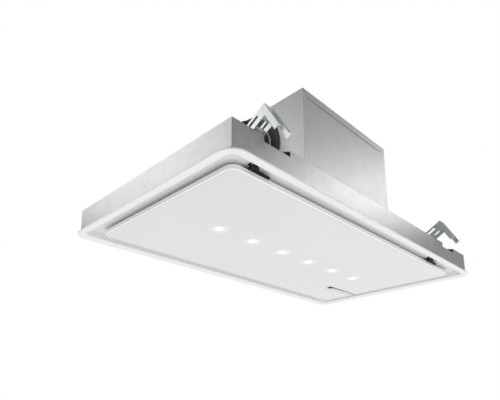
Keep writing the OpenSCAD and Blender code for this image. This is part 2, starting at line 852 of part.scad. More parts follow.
module filter_mesh(side) {
    inner_x = filter_len - gap - 2 * filter_rim;
    inner_y = filter_wid - 2 * filter_rim;
    z0 = filter_z + (filter_t - mesh_t) / 2;
    nx = floor((inner_x - mesh_bar) / mesh_pitch);
    ny = floor((inner_y - mesh_bar) / mesh_pitch);
    hole = mesh_pitch - mesh_bar;
    edge_x = (inner_x - nx * mesh_pitch + mesh_bar) / 2;
    edge_y = (inner_y - ny * mesh_pitch + mesh_bar) / 2;
    translate([side * filter_len / 2 - inner_x / 2, -inner_y / 2, z0]) linear_extrude(mesh_t) difference() {
        square([inner_x, inner_y]);
        for (i = [0:nx - 1], j = [0:ny - 1])
            translate([edge_x + i * mesh_pitch, edge_y + j * mesh_pitch]) square(hole);
    }
}

module filter_mesh_left() color("gainsboro") filter_mesh(-1);

module filter_mesh_right() color("gainsboro") filter_mesh(1);

// Latch: a bolt over the recess sheet and a grip below the frame
module filter_latch(side) {
    stem = bolt_in + gap;
    translate([side * filter_len / 2, -filter_wid / 2, 0]) {
        block([-bolt_len / 2, -bolt_reach, latch_z], [bolt_len / 2, stem + bolt_h, latch_z + bolt_h]);
        block([-bolt_len / 2, stem, filter_z - grip_h], [bolt_len / 2, stem + bolt_h, latch_z]);
        block([-grip_len / 2, stem, filter_z - grip_h - bolt_h],
            [grip_len / 2, stem + bolt_h, filter_z - grip_h]);
    }
}

module filter_latch_left() color("dimgray") filter_latch(-1);

module filter_latch_right() color("dimgray") filter_latch(1);

// Fixed halves of the hinges: a foot on the shelf and an arm down to the pin
module hinge_brackets() color("black") {
    low = ear_t + gap;
    high = tongue_wid - ear_t - gap;
    top = shelf_z + tray_t + foot_t;
    for (x = hinge_xs) translate([x, pin_y, 0]) {
        difference() {
            union() {
                rod_x(low, high, 0, pin_z, knuckle_r - gap);
                block([low, 0, pin_z - knuckle_r + arm_lift], [high, arm_reach, top]);
            }
            rod_x(-over, tongue_wid + over, 0, pin_z, hinge_pin_r);
        }
        block([-foot_side, arm_reach, shelf_z + tray_t], [high, arm_reach + foot_wid, top]);
    }
}

module hinge_pins() color("silver") {
    for (x = hinge_xs) rod_x(x, x + tongue_wid, pin_y, pin_z, hinge_pin_r);
}

// Moving halves: a flat tongue with two ears, a low bar and a foot on the back plate
module hinge_leaves() color("black") {
    edge = -cover_y;
    bevel = tongue_reach - bar_reach;
    end = tongue_wid + bevel + bar_len;
    for (x = hinge_xs) translate([x, 0, 0]) {
        translate([0, 0, rim_top]) linear_extrude(leaf_t) {
            polygon([[0, edge + back_t], [0, edge - tongue_reach], [tongue_wid, edge - tongue_reach],
                [tongue_wid + bevel, edge - bar_reach], [end - bar_reach, edge - bar_reach],
                [end - bar_reach, edge], [end, edge], [end, edge + back_t]]);
            translate([end - bar_reach, edge]) circle(r = bar_reach, $fn = round);
        }
        difference() {
            for (ear = [0, tongue_wid - ear_t]) {
                rod_x(ear, ear + ear_t, pin_y, pin_z, knuckle_r);
                block([ear, pin_y - knuckle_r, rim_top], [ear + ear_t, pin_y + knuckle_r, pin_z]);
            }
            rod_x(-over, tongue_wid + over, pin_y, pin_z, hinge_pin_r + run);
        }
        block([0, edge + back_t, rim_top], [end, edge + back_t + gap + leaf_t, rim_top + leaf_t]);
        block([0, edge + back_t + gap, back_top], [end, edge + back_t + gap + leaf_t, rim_top + leaf_t]);
        block([0, edge + back_t + gap, back_top], [end, edge + back_t + leaf_foot, back_top + leaf_t]);
    }
}

// Outline of the cover with the control slot open at its right edge
module cover_outline(edge) {
    difference() {
        rounded_rect(cover_len - 2 * edge, cover_wid - 2 * edge, cover_corner - edge);
        translate([cover_x - slot_len, slot_y]) square([slot_len + over, slot_wid]);
    }
}

module at_lights() {
    for (i = [0:light_count - 1]) translate([(i - (light_count - 1) / 2) * light_pitch, 0, 0]) children();
}

// White glass with six lamp holes
module cover_glass() color("white") {
    difference() {
        translate([0, 0, cover_face]) linear_extrude(glass_t) cover_outline(0);
        at_lights() translate([0, 0, cover_face - over])
            cylinder(r = lens_r + gap, h = glass_t + 2 * over, $fn = round);
    }
}

// Steel plate behind the glass, its rim turned up all round
module cover_back() color("whitesmoke") {
    difference() {
        translate([0, 0, glass_top]) linear_extrude(back_rim_h) cover_outline(0);
        plate(cover_len - 2 * back_t, cover_wid - 2 * back_t, cover_corner - back_t, back_top,
            rim_top + over);
        at_lights() translate([0, 0, glass_top - over])
            cylinder(r = lens_r + lens_flange + gap, h = back_t + 2 * over, $fn = round);
    }
}

// Lenses with a flange behind the glass
module light_lenses() color("white") {
    at_lights() {
        translate([0, 0, cover_face + gap]) cylinder(r = lens_r, h = glass_t - gap, $fn = round);
        translate([0, 0, glass_top]) cylinder(r = lens_r + lens_flange, h = back_t, $fn = round);
    }
}

// Ribbed heat sinks over the lamps
module light_sinks() color("silver") {
    at_lights() difference() {
        translate([0, 0, back_top]) cylinder(r = sink_r, h = sink_h, $fn = round);
        translate([0, 0, back_top - over]) cylinder(r = lens_r, h = sink_h / 2 + over, $fn = round);
        for (rib = [1:3]) translate([0, 0, back_top + rib * sink_h / 4]) difference() {
            cylinder(r = sink_r + over, h = sink_groove, $fn = round);
            translate([0, 0, -over]) cylinder(r = sink_r - sink_groove_depth, h = sink_h, $fn = round);
        }
    }
}

// Dark housing behind the control slot
module control_housing() color("black") {
    x0 = cover_x - slot_len;
    block([x0 - housing_edge, slot_y - housing_edge, back_top],
        [cover_x - back_t - gap, slot_y + slot_wid + housing_edge, back_top + housing_t]);
    block([x0, slot_y, back_top + housing_t],
        [cover_x - back_t - housing_edge, slot_y + slot_wid, back_top + housing_h]);
}

// White control strip in the slot, with a groove beside it
module control_strip() color("white") {
    x0 = cover_x - slot_len;
    difference() {
        block([x0 + strip_gap, slot_y + groove_wid, strip_face],
            [cover_x - gap, slot_y + slot_wid - gap, back_top]);
        for (i = [0:key_count - 1]) translate([x0 + key_from + i * key_pitch, key_y, 0])
            block([-key_len / 2 - gap, -key_wid / 2 - gap, strip_face - over],
                [key_len / 2 + gap, key_wid / 2 + gap, back_top + over]);
    }
}

// One touch key of the strip, counted from its inner end
module key(index) {
    translate([cover_x - slot_len + key_from + index * key_pitch, key_y, 0])
        block([-key_len / 2, -key_wid / 2, strip_face - key_proud],
            [key_len / 2, key_wid / 2, back_top - key_travel - key_slack]);
}

module key_power() color("white") key(0);

module key_slower() color("white") key(1);

module key_faster() color("white") key(2);

module key_boost() color("white") key(3);

module key_light() color("white") key(4);

// Magnets on the shelf and steel strikes on the cover, opposite the hinges
module cover_magnets() color("dimgray") {
    for (x = [-magnet_x, magnet_x]) translate([x, cover_y - back_t - magnet_wid - gap, 0])
        block([-magnet_len / 2, 0, rim_top + strike_t + gap], [magnet_len / 2, magnet_wid, shelf_z]);
}

module cover_strikes() color("silver") {
    for (x = [-magnet_x, magnet_x]) translate([x, cover_y - back_t - magnet_wid - gap, 0]) {
        block([-magnet_len / 2, 0, rim_top], [magnet_len / 2, magnet_wid, rim_top + strike_t]);
        for (end = [-magnet_len / 2, magnet_len / 2 - strike_t])
            block([end, 0, back_top], [end + strike_t, magnet_wid, rim_top]);
    }
}

// Side plate of a clamp in its own plane: the corner is the origin, the leg runs along +X
module clamp_plate(extra) {
    difference() {
        union() {
            translate([0, -leg_wid]) square([leg_len, leg_wid]);
            translate([0, -arm_len - extra]) square([arm_wid, arm_len + extra]);
        }
        translate([slot_from, -slot_in]) circle(r = slot_w / 2, $fn = small);
        translate([slot_from, -slot_in - slot_w / 2]) square([leg_len, slot_w]);
    }
}

// Sheet steel clamp: two L plates, a web over the leg, turned edges and a saddle on the nut
module clamp_bracket() {
    foot = arm_len + foot_extra;
    translate([clamp_from, clamp_corner_in, clamp_top]) rotate([-clamp_tilt, 0, 0]) {
        rotate([90, 0, 90]) linear_extrude(clamp_t) clamp_plate(0);
        translate([clamp_wid - clamp_t, 0, 0]) rotate([90, 0, 90]) linear_extrude(clamp_t)
            clamp_plate(foot_extra);
        block([0, 0, -clamp_t], [clamp_wid, slot_from, 0]);
        block([0, 0, -arm_len], [flange, clamp_t, 0]);
        block([clamp_wid - flange, 0, -foot], [clamp_wid, clamp_t, 0]);
        block([clamp_wid - flange, 0, -foot], [clamp_wid, arm_wid, clamp_t - foot]);
    }
    saddle();
}

// Level saddle between the plates, bored for the nut's boss
module saddle() {
    half = clamp_mid - clamp_t / 2;
    translate([clamp_from + clamp_mid, clamp_screw_in, saddle_z]) difference() {
        block([-half, -nut_r, 0], [half, nut_r, saddle_t]);
        translate([0, 0, -over]) cylinder(r = nut_boss_r + run, h = saddle_t + 2 * over, $fn = round);
    }
}

module clamp_front_left() color("lightsteelblue") at_notch(0, -1) clamp_bracket();

module clamp_front_right() color("lightsteelblue") at_notch(0, 1) clamp_bracket();

module clamp_back_left() color("lightsteelblue") at_notch(180, 1) clamp_bracket();

module clamp_back_right() color("lightsteelblue") at_notch(180, -1) clamp_bracket();

// Threaded nut that climbs on the clamp's screw
module clamp_nut() {
    translate([clamp_from + clamp_mid, clamp_screw_in, saddle_z]) difference() {
        union() {
            translate([0, 0, -nut_h]) cylinder(r = nut_r, h = nut_h, $fn = 6);
            translate([0, 0, -over]) cylinder(r = nut_boss_r, h = saddle_t + over, $fn = round);
        }
        translate([0, 0, -nut_h - over])
            cylinder(r = screw_r + run, h = nut_h + saddle_t + 2 * over, $fn = round);
    }
}

module clamp_nut_front_left() color("silver") at_notch(0, -1) clamp_nut();

module clamp_nut_front_right() color("silver") at_notch(0, 1) clamp_nut();

module clamp_nut_back_left() color("silver") at_notch(180, 1) clamp_nut();

module clamp_nut_back_right() color("silver") at_notch(180, -1) clamp_nut();

// Clamp screws, with stop collars that stand on the base bushes
module clamp_screws() color("silver") {
    at_notches() translate([clamp_from + clamp_mid, clamp_screw_in, shelf_z]) difference() {
        union() {
            cylinder(r = screw_r, h = screw_top - shelf_z, $fn = round);
            translate([0, 0, tray_t + base_h])
                cylinder(r = screw_r + screw_collar, h = stop_top - base_top, $fn = round);
        }
        translate([0, 0, -over]) cylinder(r = socket_r, h = socket_h + over, $fn = 6);
    }
}

// Bushes on the shelf that carry the clamp screws
module clamp_bases() color("gray") {
    at_notches() translate([clamp_from + clamp_mid, clamp_screw_in, shelf_z + tray_t]) difference() {
        union() {
            cylinder(r = base_r, h = base_h, $fn = round);
            cylinder(r = base_r + base_flange, h = base_flange, $fn = round);
        }
        translate([0, 0, -over]) cylinder(r = screw_r + run, h = base_h + 2 * over, $fn = round);
    }
}

// Pan head screws on the motor box's back rims, on its right side and on the duct's base plate
module box_screws() color("silver") {
    middle = (body_h + box_top) / 2;
    for (side = [-1, 1], step = [-1, 0, 1])
        translate([side * (box_x - box_rim / 2), box_y, middle + step * screw_apart])
            rotate([-90, 0, 0]) pan_head();
    for (side = [-1, 1]) translate([box_x, side * foot_half / 2, shaft_z]) rotate([0, 90, 0]) pan_head();
    for (turn = [45:90:315]) translate([-box_x - duct_base_t, 0, duct_z]) rotate([turn, 0, 0])
        translate([0, duct_base_r - screw_circle_in, 0]) rotate([0, -90, 0]) pan_head();
}

trim_frame();
frame_rail();
recess_tray();
filter_tray();
housing_walls();
top_plate();
box_wrap();
box_front_panel();
box_back_panel();
duct_base();
duct_collar();
duct_seal();
flap_front();
flap_back();
flap_pins();
scroll_casing();
inlet_rings();
fan_wheel();
fan_shaft();
fan_motor();
motor_bracket();
fan_bracket();
wiring_box();
wiring_lid();
circuit_board();
capacitor();
cable_gland();
plenum_sleeve();
filter_frame_left();
filter_frame_right();
filter_mesh_left();
filter_mesh_right();
filter_latch_left();
filter_latch_right();
hinge_brackets();
hinge_pins();
hinge_leaves();
cover_glass();
cover_back();
light_lenses();
light_sinks();
control_housing();
control_strip();
key_power();
key_slower();
key_faster();
key_boost();
key_light();
cover_magnets();
cover_strikes();
clamp_front_left();
clamp_front_right();
clamp_back_left();
clamp_back_right();
clamp_nut_front_left();
clamp_nut_front_right();
clamp_nut_back_left();
clamp_nut_back_right();
clamp_screws();
clamp_bases();
box_screws();
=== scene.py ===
"""A ceiling range hood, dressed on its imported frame: finishes, softened edges and small fittings."""
import json
import logging
import math
from dataclasses import dataclass, field
from enum import Enum
from typing import Dict, Optional, Sequence, Tuple

import bmesh
import bpy
from mathutils import Euler, Matrix, Vector

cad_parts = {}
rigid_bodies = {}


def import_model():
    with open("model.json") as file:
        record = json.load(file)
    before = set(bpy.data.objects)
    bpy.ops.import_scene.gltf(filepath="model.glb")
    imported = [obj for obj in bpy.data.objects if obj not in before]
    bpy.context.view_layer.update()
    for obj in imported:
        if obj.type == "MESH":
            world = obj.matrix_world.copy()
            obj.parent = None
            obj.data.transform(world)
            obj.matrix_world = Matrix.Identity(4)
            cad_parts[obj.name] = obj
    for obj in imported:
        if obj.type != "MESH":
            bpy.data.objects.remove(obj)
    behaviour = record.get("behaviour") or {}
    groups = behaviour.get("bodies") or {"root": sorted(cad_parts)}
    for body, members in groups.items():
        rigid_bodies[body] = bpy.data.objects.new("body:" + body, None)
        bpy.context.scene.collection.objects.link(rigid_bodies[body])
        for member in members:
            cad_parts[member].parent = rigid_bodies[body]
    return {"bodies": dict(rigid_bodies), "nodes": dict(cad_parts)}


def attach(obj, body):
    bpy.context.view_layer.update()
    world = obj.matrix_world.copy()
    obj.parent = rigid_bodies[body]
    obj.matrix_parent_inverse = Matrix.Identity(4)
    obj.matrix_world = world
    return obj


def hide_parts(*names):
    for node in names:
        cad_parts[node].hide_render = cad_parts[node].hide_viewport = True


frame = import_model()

LOG = logging.getLogger("hood")
MM = 0.001
MERGE = 1e-6
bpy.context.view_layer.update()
Point = Tuple[float, float, float]
Pair = Tuple[float, float]
Block = Tuple[Point, Point]
Mesh = bpy.types.Mesh
Shell = bmesh.types.BMesh
Socket = bpy.types.NodeSocket
Tree = bpy.types.NodeTree
ORIGIN: Point = (0.0, 0.0, 0.0)
LAMP_PITCH = 0.1
FLAT_ANGLE, FOLD_ANGLE = 0.4, 28.0
SRGB_KNEE, SRGB_SLOPE, SRGB_LIFT, SRGB_POWER = 0.04045, 12.92, 0.055, 2.4


def linear(hex_colour: str) -> Tuple[float, ...]:
    """Turn an sRGB hex colour into linear red, green and blue with an alpha of 1."""
    parts = [int(hex_colour[i:i + 2], 16) / 255 for i in (0, 2, 4)]
    return tuple(p / SRGB_SLOPE if p <= SRGB_KNEE else ((p + SRGB_LIFT) / (1 + SRGB_LIFT)) ** SRGB_POWER
                 for p in parts) + (1.0,)


def metres(x: float, y: float, z: float) -> Point:
    """Turn a point in millimetres into metres."""
    return x * MM, y * MM, z * MM


def add_node(tree: Tree, kind: str, settings: Optional[dict] = None) -> bpy.types.NodeOutputs:
    """Add a node with its settings and the links into it.

    Args:
        tree: the tree that gets the node.
        kind: the node's type name.
        settings: attribute names, or input names and indices, each with a value or the socket that feeds it.
    Returns:
        The new node's outputs.
    """
    node = tree.nodes.new(kind)
    for key, value in (settings or {}).items():
        if isinstance(value, Socket):
            tree.links.new(value, node.inputs[key])
        elif isinstance(key, str) and hasattr(node, key):
            setattr(node, key, value)
        else:
            node.inputs[key].default_value = value
    return node.outputs


def new_material(name: str) -> Tuple[bpy.types.Material, Tree]:
    """Make a material with an empty node tree.

    Args:
        name: the material's name.
    Returns:
        The material and its tree.
    """
    material = bpy.data.materials.new(name)
    material.use_nodes = True
    material.node_tree.nodes.clear()
    return material, material.node_tree


def new_object(name: str, data: bpy.types.ID) -> bpy.types.Object:
    """Make an object and link it into the scene.

    Args:
        name: the object's name.
        data: its mesh, lamp or camera.
    Returns:
        The object.
    """
    made = bpy.data.objects.new(name, data)
    bpy.context.scene.collection.objects.link(made)
    return made


def from_lamp(tree: Tree, spot: Socket) -> Tuple[Socket, Socket]:
    """Measure from the nearest of the lamps, which stand in a row on the X axis.

    Args:
        tree: the material's node tree.
        spot: object coordinates.
    Returns:
        The distance to that lamp's middle, and the distance along X from the hood's middle.
    """
    parts = add_node(tree, "ShaderNodeSeparateXYZ", {0: spot})
    along = add_node(tree, "ShaderNodeMath", {"operation": "ABSOLUTE", 0: parts["X"]})[0]
    within = add_node(tree, "ShaderNodeMath", {"operation": "MODULO", 0: along, 1: LAMP_PITCH})[0]
    off = add_node(tree, "ShaderNodeMath", {"operation": "SUBTRACT", 0: within, 1: LAMP_PITCH / 2})[0]
    flat = add_node(tree, "ShaderNodeCombineXYZ", {"X": off, "Y": parts["Y"]})[0]
    return add_node(tree, "ShaderNodeVectorMath", {"operation": "LENGTH", 0: flat})["Value"], along


class Pattern(Enum):
    """How a surface's small relief and tone are laid out."""

    PEEL = "peel"
    GRAIN = "grain"
    BRUSHED = "brushed"
    SPANGLE = "spangle"
    WEAVE = "weave"


@dataclass(frozen=True)
class Finish:
    """A surface finish: its colours, its gloss and the pattern that its making left."""

    name: str
    light: str
    dark: str
    roughness: float
    rough_spread: float = 0.06
    metallic: float = 0.0
    ior: float = 1.5
    pattern: Pattern = Pattern.PEEL
    scale_mm: float = 1.0
    stretch: Point = (1.0, 1.0, 1.0)
    bump_mm: float = 0.01
    cloud_mm: float = 60.0
    cloud: float = 0.3
    cloud_detail: float = 3.0
    cloud_rough: float = 0.55
    coat: float = 0.0
    coat_rough: float = 0.08
    # painted glow: emission on the surface round the lamps, its strength and its reach
    halo: float = 0.0
    halo_mm: Pair = (9.0, 28.0)
    middle: Pair = (0.3, 0.7)

    def build(self) -> bpy.types.Material:
        """Make the node material once and give it back after that."""
        found = bpy.data.materials.get(self.name)
        if found:
            return found
        material, tree = new_material(self.name)
        spot = add_node(tree, "ShaderNodeTexCoord")["Object"]
        fine = self.relief(tree, spot)
        clouds = add_node(tree, "ShaderNodeTexNoise", {
            "Scale": 1.0 / (self.cloud_mm * MM), "Detail": self.cloud_detail, "Roughness": self.cloud_rough,
            "Vector": spot})["Fac"]
        tone = add_node(tree, "ShaderNodeMix", {"data_type": "FLOAT", 0: self.cloud, 2: fine, 3: clouds})[0]
        middle = {"Value": tone, "From Min": self.middle[0], "From Max": self.middle[1]}
        share = add_node(tree, "ShaderNodeMapRange", middle)["Result"]
        colour = add_node(tree, "ShaderNodeMix", {
            "data_type": "RGBA", 0: share, 6: linear(self.dark), 7: linear(self.light)})[2]
        rough = add_node(tree, "ShaderNodeMapRange", {
            **middle, "To Min": self.roughness + self.rough_spread,
            "To Max": self.roughness - self.rough_spread})["Result"]
        bump = add_node(tree, "ShaderNodeBump", {"Strength": 1.0, "Distance": self.bump_mm * MM, "Height": fine})
        settings = {"Base Color": colour, "Roughness": rough, "Metallic": self.metallic, "IOR": self.ior,
                    "Coat Weight": self.coat, "Coat Roughness": self.coat_rough, "Normal": bump["Normal"]}
        # a painted glow round the lamps, where the finish has one
        if self.halo:
            settings.update({"Emission Color": linear("FFFFFF"), "Emission Strength": self.glow(tree, spot)})
        shader = add_node(tree, "ShaderNodeBsdfPrincipled", settings)["BSDF"]
        add_node(tree, "ShaderNodeOutputMaterial", {"Surface": shader})
        return material

    def glow(self, tree: Tree, spot: Socket) -> Socket:
        """Fade a painted glow round the six lamps: emission on the glass, which is no lamp, standing in for their
        light scattered in it.

        Args:
            tree: the material's node tree.
            spot: object coordinates.
        Returns:
            The glow's strength.
        """
        reach, along = from_lamp(tree, spot)
        fade = add_node(tree, "ShaderNodeMapRange", {
            "Value": reach, "From Min": self.halo_mm[0] * MM, "From Max": self.halo_mm[1] * MM,
            "To Min": self.halo, "To Max": 0.0, "interpolation_type": "SMOOTHERSTEP"})["Result"]
        near = add_node(tree, "ShaderNodeMath", {"operation": "LESS_THAN", 0: along, 1: 3 * LAMP_PITCH})[0]
        return add_node(tree, "ShaderNodeMath", {"operation": "MULTIPLY", 0: fade, 1: near})[0]

    def relief(self, tree: Tree, spot: Socket) -> Socket:
        """Lay out the fine relief.

        Args:
            tree: the material's node tree.
            spot: the coordinates that the pattern follows.
        Returns:
            A height from 0 to 1.
        """
        drawn = add_node(tree, "ShaderNodeMapping", {"Scale": self.stretch, "Vector": spot})["Vector"]
        shared = {"Scale": 1.0 / (self.scale_mm * MM), "Vector": drawn}
        if self.pattern is Pattern.SPANGLE:
            return add_node(tree, "ShaderNodeTexVoronoi", {"feature": "SMOOTH_F1", **shared})["Distance"]
        if self.pattern is Pattern.WEAVE:
            return add_node(tree, "ShaderNodeTexWave", {"Distortion": 1.5, **shared})["Fac"]
        detail = {Pattern.PEEL: 1.0, Pattern.GRAIN: 4.0, Pattern.BRUSHED: 3.0}[self.pattern]
        return add_node(tree, "ShaderNodeTexNoise", {"Detail": detail, **shared})["Fac"]


@dataclass(frozen=True)
class LampGlow:
    """A frosted polycarbonate lens over a lamp: bright white in the middle, fading to a plain white edge."""

    name: str = "polycarbonate_frosted_lens"
    base: str = "F8F8F6"
    colour: str = "FFFFFF"
    strength: float = 0.9
    edge: float = 0.22
    fade_mm: Pair = (6.0, 10.0)
    frost_mm: float = 0.02
    frost_per_metre: float = 900.0
    rough: Pair = (0.35, 0.5)

    def build(self) -> bpy.types.Material:
        """Make the glowing lens material once and give it back after that."""
        found = bpy.data.materials.get(self.name)
        if found:
            return found
        material, tree = new_material(self.name)
        spot = add_node(tree, "ShaderNodeTexCoord")["Object"]
        frost = add_node(tree, "ShaderNodeTexNoise", {
            "Scale": self.frost_per_metre, "Detail": 2.0, "Vector": spot})["Fac"]
        bump = add_node(tree, "ShaderNodeBump", {"Distance": self.frost_mm * MM, "Height": frost})["Normal"]
        rough = add_node(tree, "ShaderNodeMapRange", {
            "Value": frost, "To Min": self.rough[0], "To Max": self.rough[1]})["Result"]
        fade = add_node(tree, "ShaderNodeMapRange", {
            "Value": from_lamp(tree, spot)[0], "From Min": self.fade_mm[0] * MM, "From Max": self.fade_mm[1] * MM,
            "To Min": self.strength, "To Max": self.edge})["Result"]
        shader = add_node(tree, "ShaderNodeBsdfPrincipled", {
            "Base Color": linear(self.base), "Emission Color": linear(self.colour), "Emission Strength": fade,
            "Roughness": rough, "Normal": bump})["BSDF"]
        add_node(tree, "ShaderNodeOutputMaterial", {"Surface": shader})
        return material


# Textures and brush lines that are really finer than half a millimetre are drawn 0.4 to 1 mm wide, so that they show.

# Powder coat on steel: an even half gloss with a faint orange peel.
TRIM_COAT = Finish("powder_coat_white", "F8F8F7", "F3F3F2", 0.4, scale_mm=1.6, bump_mm=0.012, cloud=0.4)
# The same coat inside the recess, duller and a touch greyer.
TRAY_COAT = Finish("powder_coat_white_matt", "F3F3F2", "ECECEB", 0.5, scale_mm=1.6, bump_mm=0.015)
# Hot dip galvanised sheet: a soft grey sheen with long rolling streaks and pale clouds.
WALL_STEEL = Finish("galvanised_sheet", "C5C5C4", "B9B9B8", 0.38, 0.015, 1.0, pattern=Pattern.BRUSHED,
                    scale_mm=3.0, stretch=(1.0, 1.0, 0.25), bump_mm=0.0015, cloud_mm=22.0, cloud=0.5)
# The same sheet on the motor box: paler and duller, with a soft mottle in place of the streaks.
BOX_STEEL = Finish("galvanised_sheet_fine", "CFCFCE", "C5C5C4", 0.47, 0.02, 1.0, pattern=Pattern.GRAIN,
                   scale_mm=5.0, bump_mm=0.0012, cloud_mm=22.0, cloud=0.5)
# Bright zinc plate: paler than the sheet, a satin gloss.
ZINC = Finish("zinc_plated_steel", "E0E5E5", "DBE0E0", 0.32, 0.01, 0.85, pattern=Pattern.GRAIN,
              scale_mm=3.0, bump_mm=0.0008, cloud_mm=12.0)
# Nickel plated screws and pins: small, bright and smooth.
BRIGHT = Finish("nickel_plated_steel", "D8D8D6", "C6C6C4", 0.22, 0.04, 1.0, pattern=Pattern.GRAIN,
                scale_mm=1.0, bump_mm=0.001, cloud_mm=6.0)
# Black e-coat on the hinges: flat and nearly even.
BLACK_COAT = Finish("black_electrocoat", "0E0E0E", "080808", 0.6, scale_mm=1.0, bump_mm=0.006, ior=1.3)
# Sand cast aluminium: pale grey with a short grain.
CAST = Finish("cast_aluminium", "B9BBBD", "A4A6A8", 0.45, 0.06, 1.0, pattern=Pattern.GRAIN,
              scale_mm=0.8, bump_mm=0.02)
# Folded aluminium on the filters: brushed along its length.
FILTER_ALUMINIUM = Finish("brushed_aluminium", "CDCFD1", "B8BABD", 0.34, 0.05, 1.0, pattern=Pattern.BRUSHED,
                          scale_mm=0.7, stretch=(0.05, 1.0, 1.0), bump_mm=0.004)
# White moulded ABS: half gloss with a fine texture.
WHITE_ABS = Finish("abs_white", "EDEDEC", "E6E6E5", 0.35, scale_mm=0.8, bump_mm=0.004)
# Grey moulded ABS: matt, a little speckled.
GREY_ABS = Finish("abs_grey", "707274", "66686A", 0.55, pattern=Pattern.GRAIN, scale_mm=0.6, bump_mm=0.01)
# Dark grey moulded collar: matt, catching a soft edge light.
DARK_ABS = Finish("abs_dark_grey", "3C3D3F", "323335", 0.5, pattern=Pattern.GRAIN, scale_mm=0.8, bump_mm=0.01)
# Black glass filled nylon: flat black.
BLACK_NYLON = Finish("nylon_black", "101010", "0A0A0A", 0.55, pattern=Pattern.GRAIN, scale_mm=0.6, bump_mm=0.01)
# Pale foam seal: dull and finely pored.
SEAL_FOAM = Finish("foam_seal_pale", "DADAD8", "C6C6C4", 0.85, pattern=Pattern.SPANGLE, scale_mm=0.7, bump_mm=0.05)
# Epoxy circuit laminate: dark green under a clear mask.
LAMINATE = Finish("circuit_laminate_green", "1E5A34", "15452A", 0.4, pattern=Pattern.WEAVE, scale_mm=1.5,
                  bump_mm=0.01, coat=0.3)
# Sintered ferrite: charcoal with a fine grit.
FERRITE = Finish("ferrite", "3A3A3C", "2C2C2E", 0.6, pattern=Pattern.GRAIN, scale_mm=0.5, bump_mm=0.02)
# Back painted float glass: a milky white under a smooth clear gloss, with a painted glow for a finger's width round
# each lamp, an emission on the glass that stands in for the lamps' light scattered in it.
WHITE_GLASS = Finish("float_glass_white_backed", "E8E9E8", "E4E5E4", 0.08, 0.01, pattern=Pattern.PEEL,
                     scale_mm=300.0, bump_mm=0.0, cloud_mm=300.0, halo=0.09)
# The ground border of the same glass: paler and satin.
GROUND_GLASS = Finish("float_glass_ground_edge", "FBFBFA", "F7F7F6", 0.35, 0.02, scale_mm=0.6, bump_mm=0.001)
# Painted seam shade: a dull grey line laid in the folded rims' joints, standing in for the shadow of the step between
# panel and rim.
SEAM_SHADE = Finish("painted_seam_shade_grey", "7C7E80", "707274", 0.7, pattern=Pattern.GRAIN, scale_mm=1.0, bump_mm=0.02)
# Grey screen ink of the key signs, and of the painted shade line along each key's edge: flat, a hair above the
# plastic.
SIGN_INK_AND_SHADE = Finish("screen_ink_and_shade_grey", "8A8C8E", "828486", 0.5, scale_mm=0.4, bump_mm=0.002)
# Frosted polycarbonate: a white glow that softens towards the rim, with a grit about a millimetre wide.
LENS = LampGlow()


BODY = {node: body for body, empty in frame["bodies"].items()
        for node, solid in frame["nodes"].items() if solid.parent is empty}


def creased(shell: Shell, name: str, angle: float) -> Mesh:
    """Turn a working mesh into a smooth one that stays sharp where its faces meet at an angle.

    Args:
        shell: the working mesh, which is used up.
        name: the new mesh's name.
        angle: degrees between two faces from which their edge stays sharp.
    Returns:
        The mesh.
    """
    mesh = bpy.data.meshes.new(name)
    shell.to_mesh(mesh)
    shell.free()
    for polygon in mesh.polygons:
        polygon.use_smooth = True
    mesh.set_sharp_from_angle(angle=math.radians(angle))
    return mesh


def into_mesh(shell: Shell, name: str, crease: float = 30.0) -> Mesh:
    """Finish a working mesh with its doubles merged, its faces outward and its creases sharp.

    Args:
        shell: the working mesh, which is used up.
        name: the new mesh's name.
        crease: degrees between two faces from which their edge stays sharp.
    Returns:
        The mesh.
    """
    bmesh.ops.remove_doubles(shell, verts=shell.verts[:], dist=MERGE)
    bmesh.ops.recalc_face_normals(shell, faces=shell.faces[:])
    return creased(shell, name, crease)


def modified(mesh: Mesh, kind: str, settings: dict) -> Mesh:
    """Run one modifier on a mesh.

    Args:
        mesh: the mesh, which is used up.
        kind: the modifier's type.
        settings: its properties, and by identifier the inputs of a node tree.
    Returns:
        The mesh that the modifier gives.
    """
    holder = new_object("holder", mesh)
    modifier = holder.modifiers.new("step", kind)
    for key, value in settings.items():
        if hasattr(modifier, key):
            setattr(modifier, key, value)
        else:
            modifier[key] = value
    result = bpy.data.meshes.new_from_object(holder.evaluated_get(bpy.context.evaluated_depsgraph_get()))
    result.name = mesh.name + "_done"
    holder.modifiers.clear()
    bpy.data.objects.remove(holder)
    bpy.data.meshes.remove(mesh)
    return result


def bevelled(mesh: Mesh, width_mm: float, segments: int) -> Mesh:
    """Round a mesh's sharp edges off with a number of facets; the mesh is used up."""
    return modified(mesh, "BEVEL", {"width": width_mm * MM, "segments": segments, "limit_method": "ANGLE"})


def softened(node: str, width_mm: float) -> Mesh:
    """Copy a frame node's mesh with its sharp edges rounded off.

    Args:
        node: the frame node.
        width_mm: width of the rounding.
    Returns:
        The rounded copy.
    """
    shell = bmesh.new()
    shell.from_mesh(frame["nodes"][node].data)
    bmesh.ops.remove_doubles(shell, verts=shell.verts[:], dist=2 * MERGE)
    bmesh.ops.dissolve_limit(shell, angle_limit=math.radians(FLAT_ANGLE), verts=shell.verts[:],
                             edges=shell.edges[:])
    return modified(creased(shell, node + "_soft", FOLD_ANGLE), "BEVEL", {
        "width": width_mm * MM, "segments": 2, "limit_method": "ANGLE", "angle_limit": math.radians(FOLD_ANGLE),
        "harden_normals": True, "miter_outer": "MITER_ARC"})


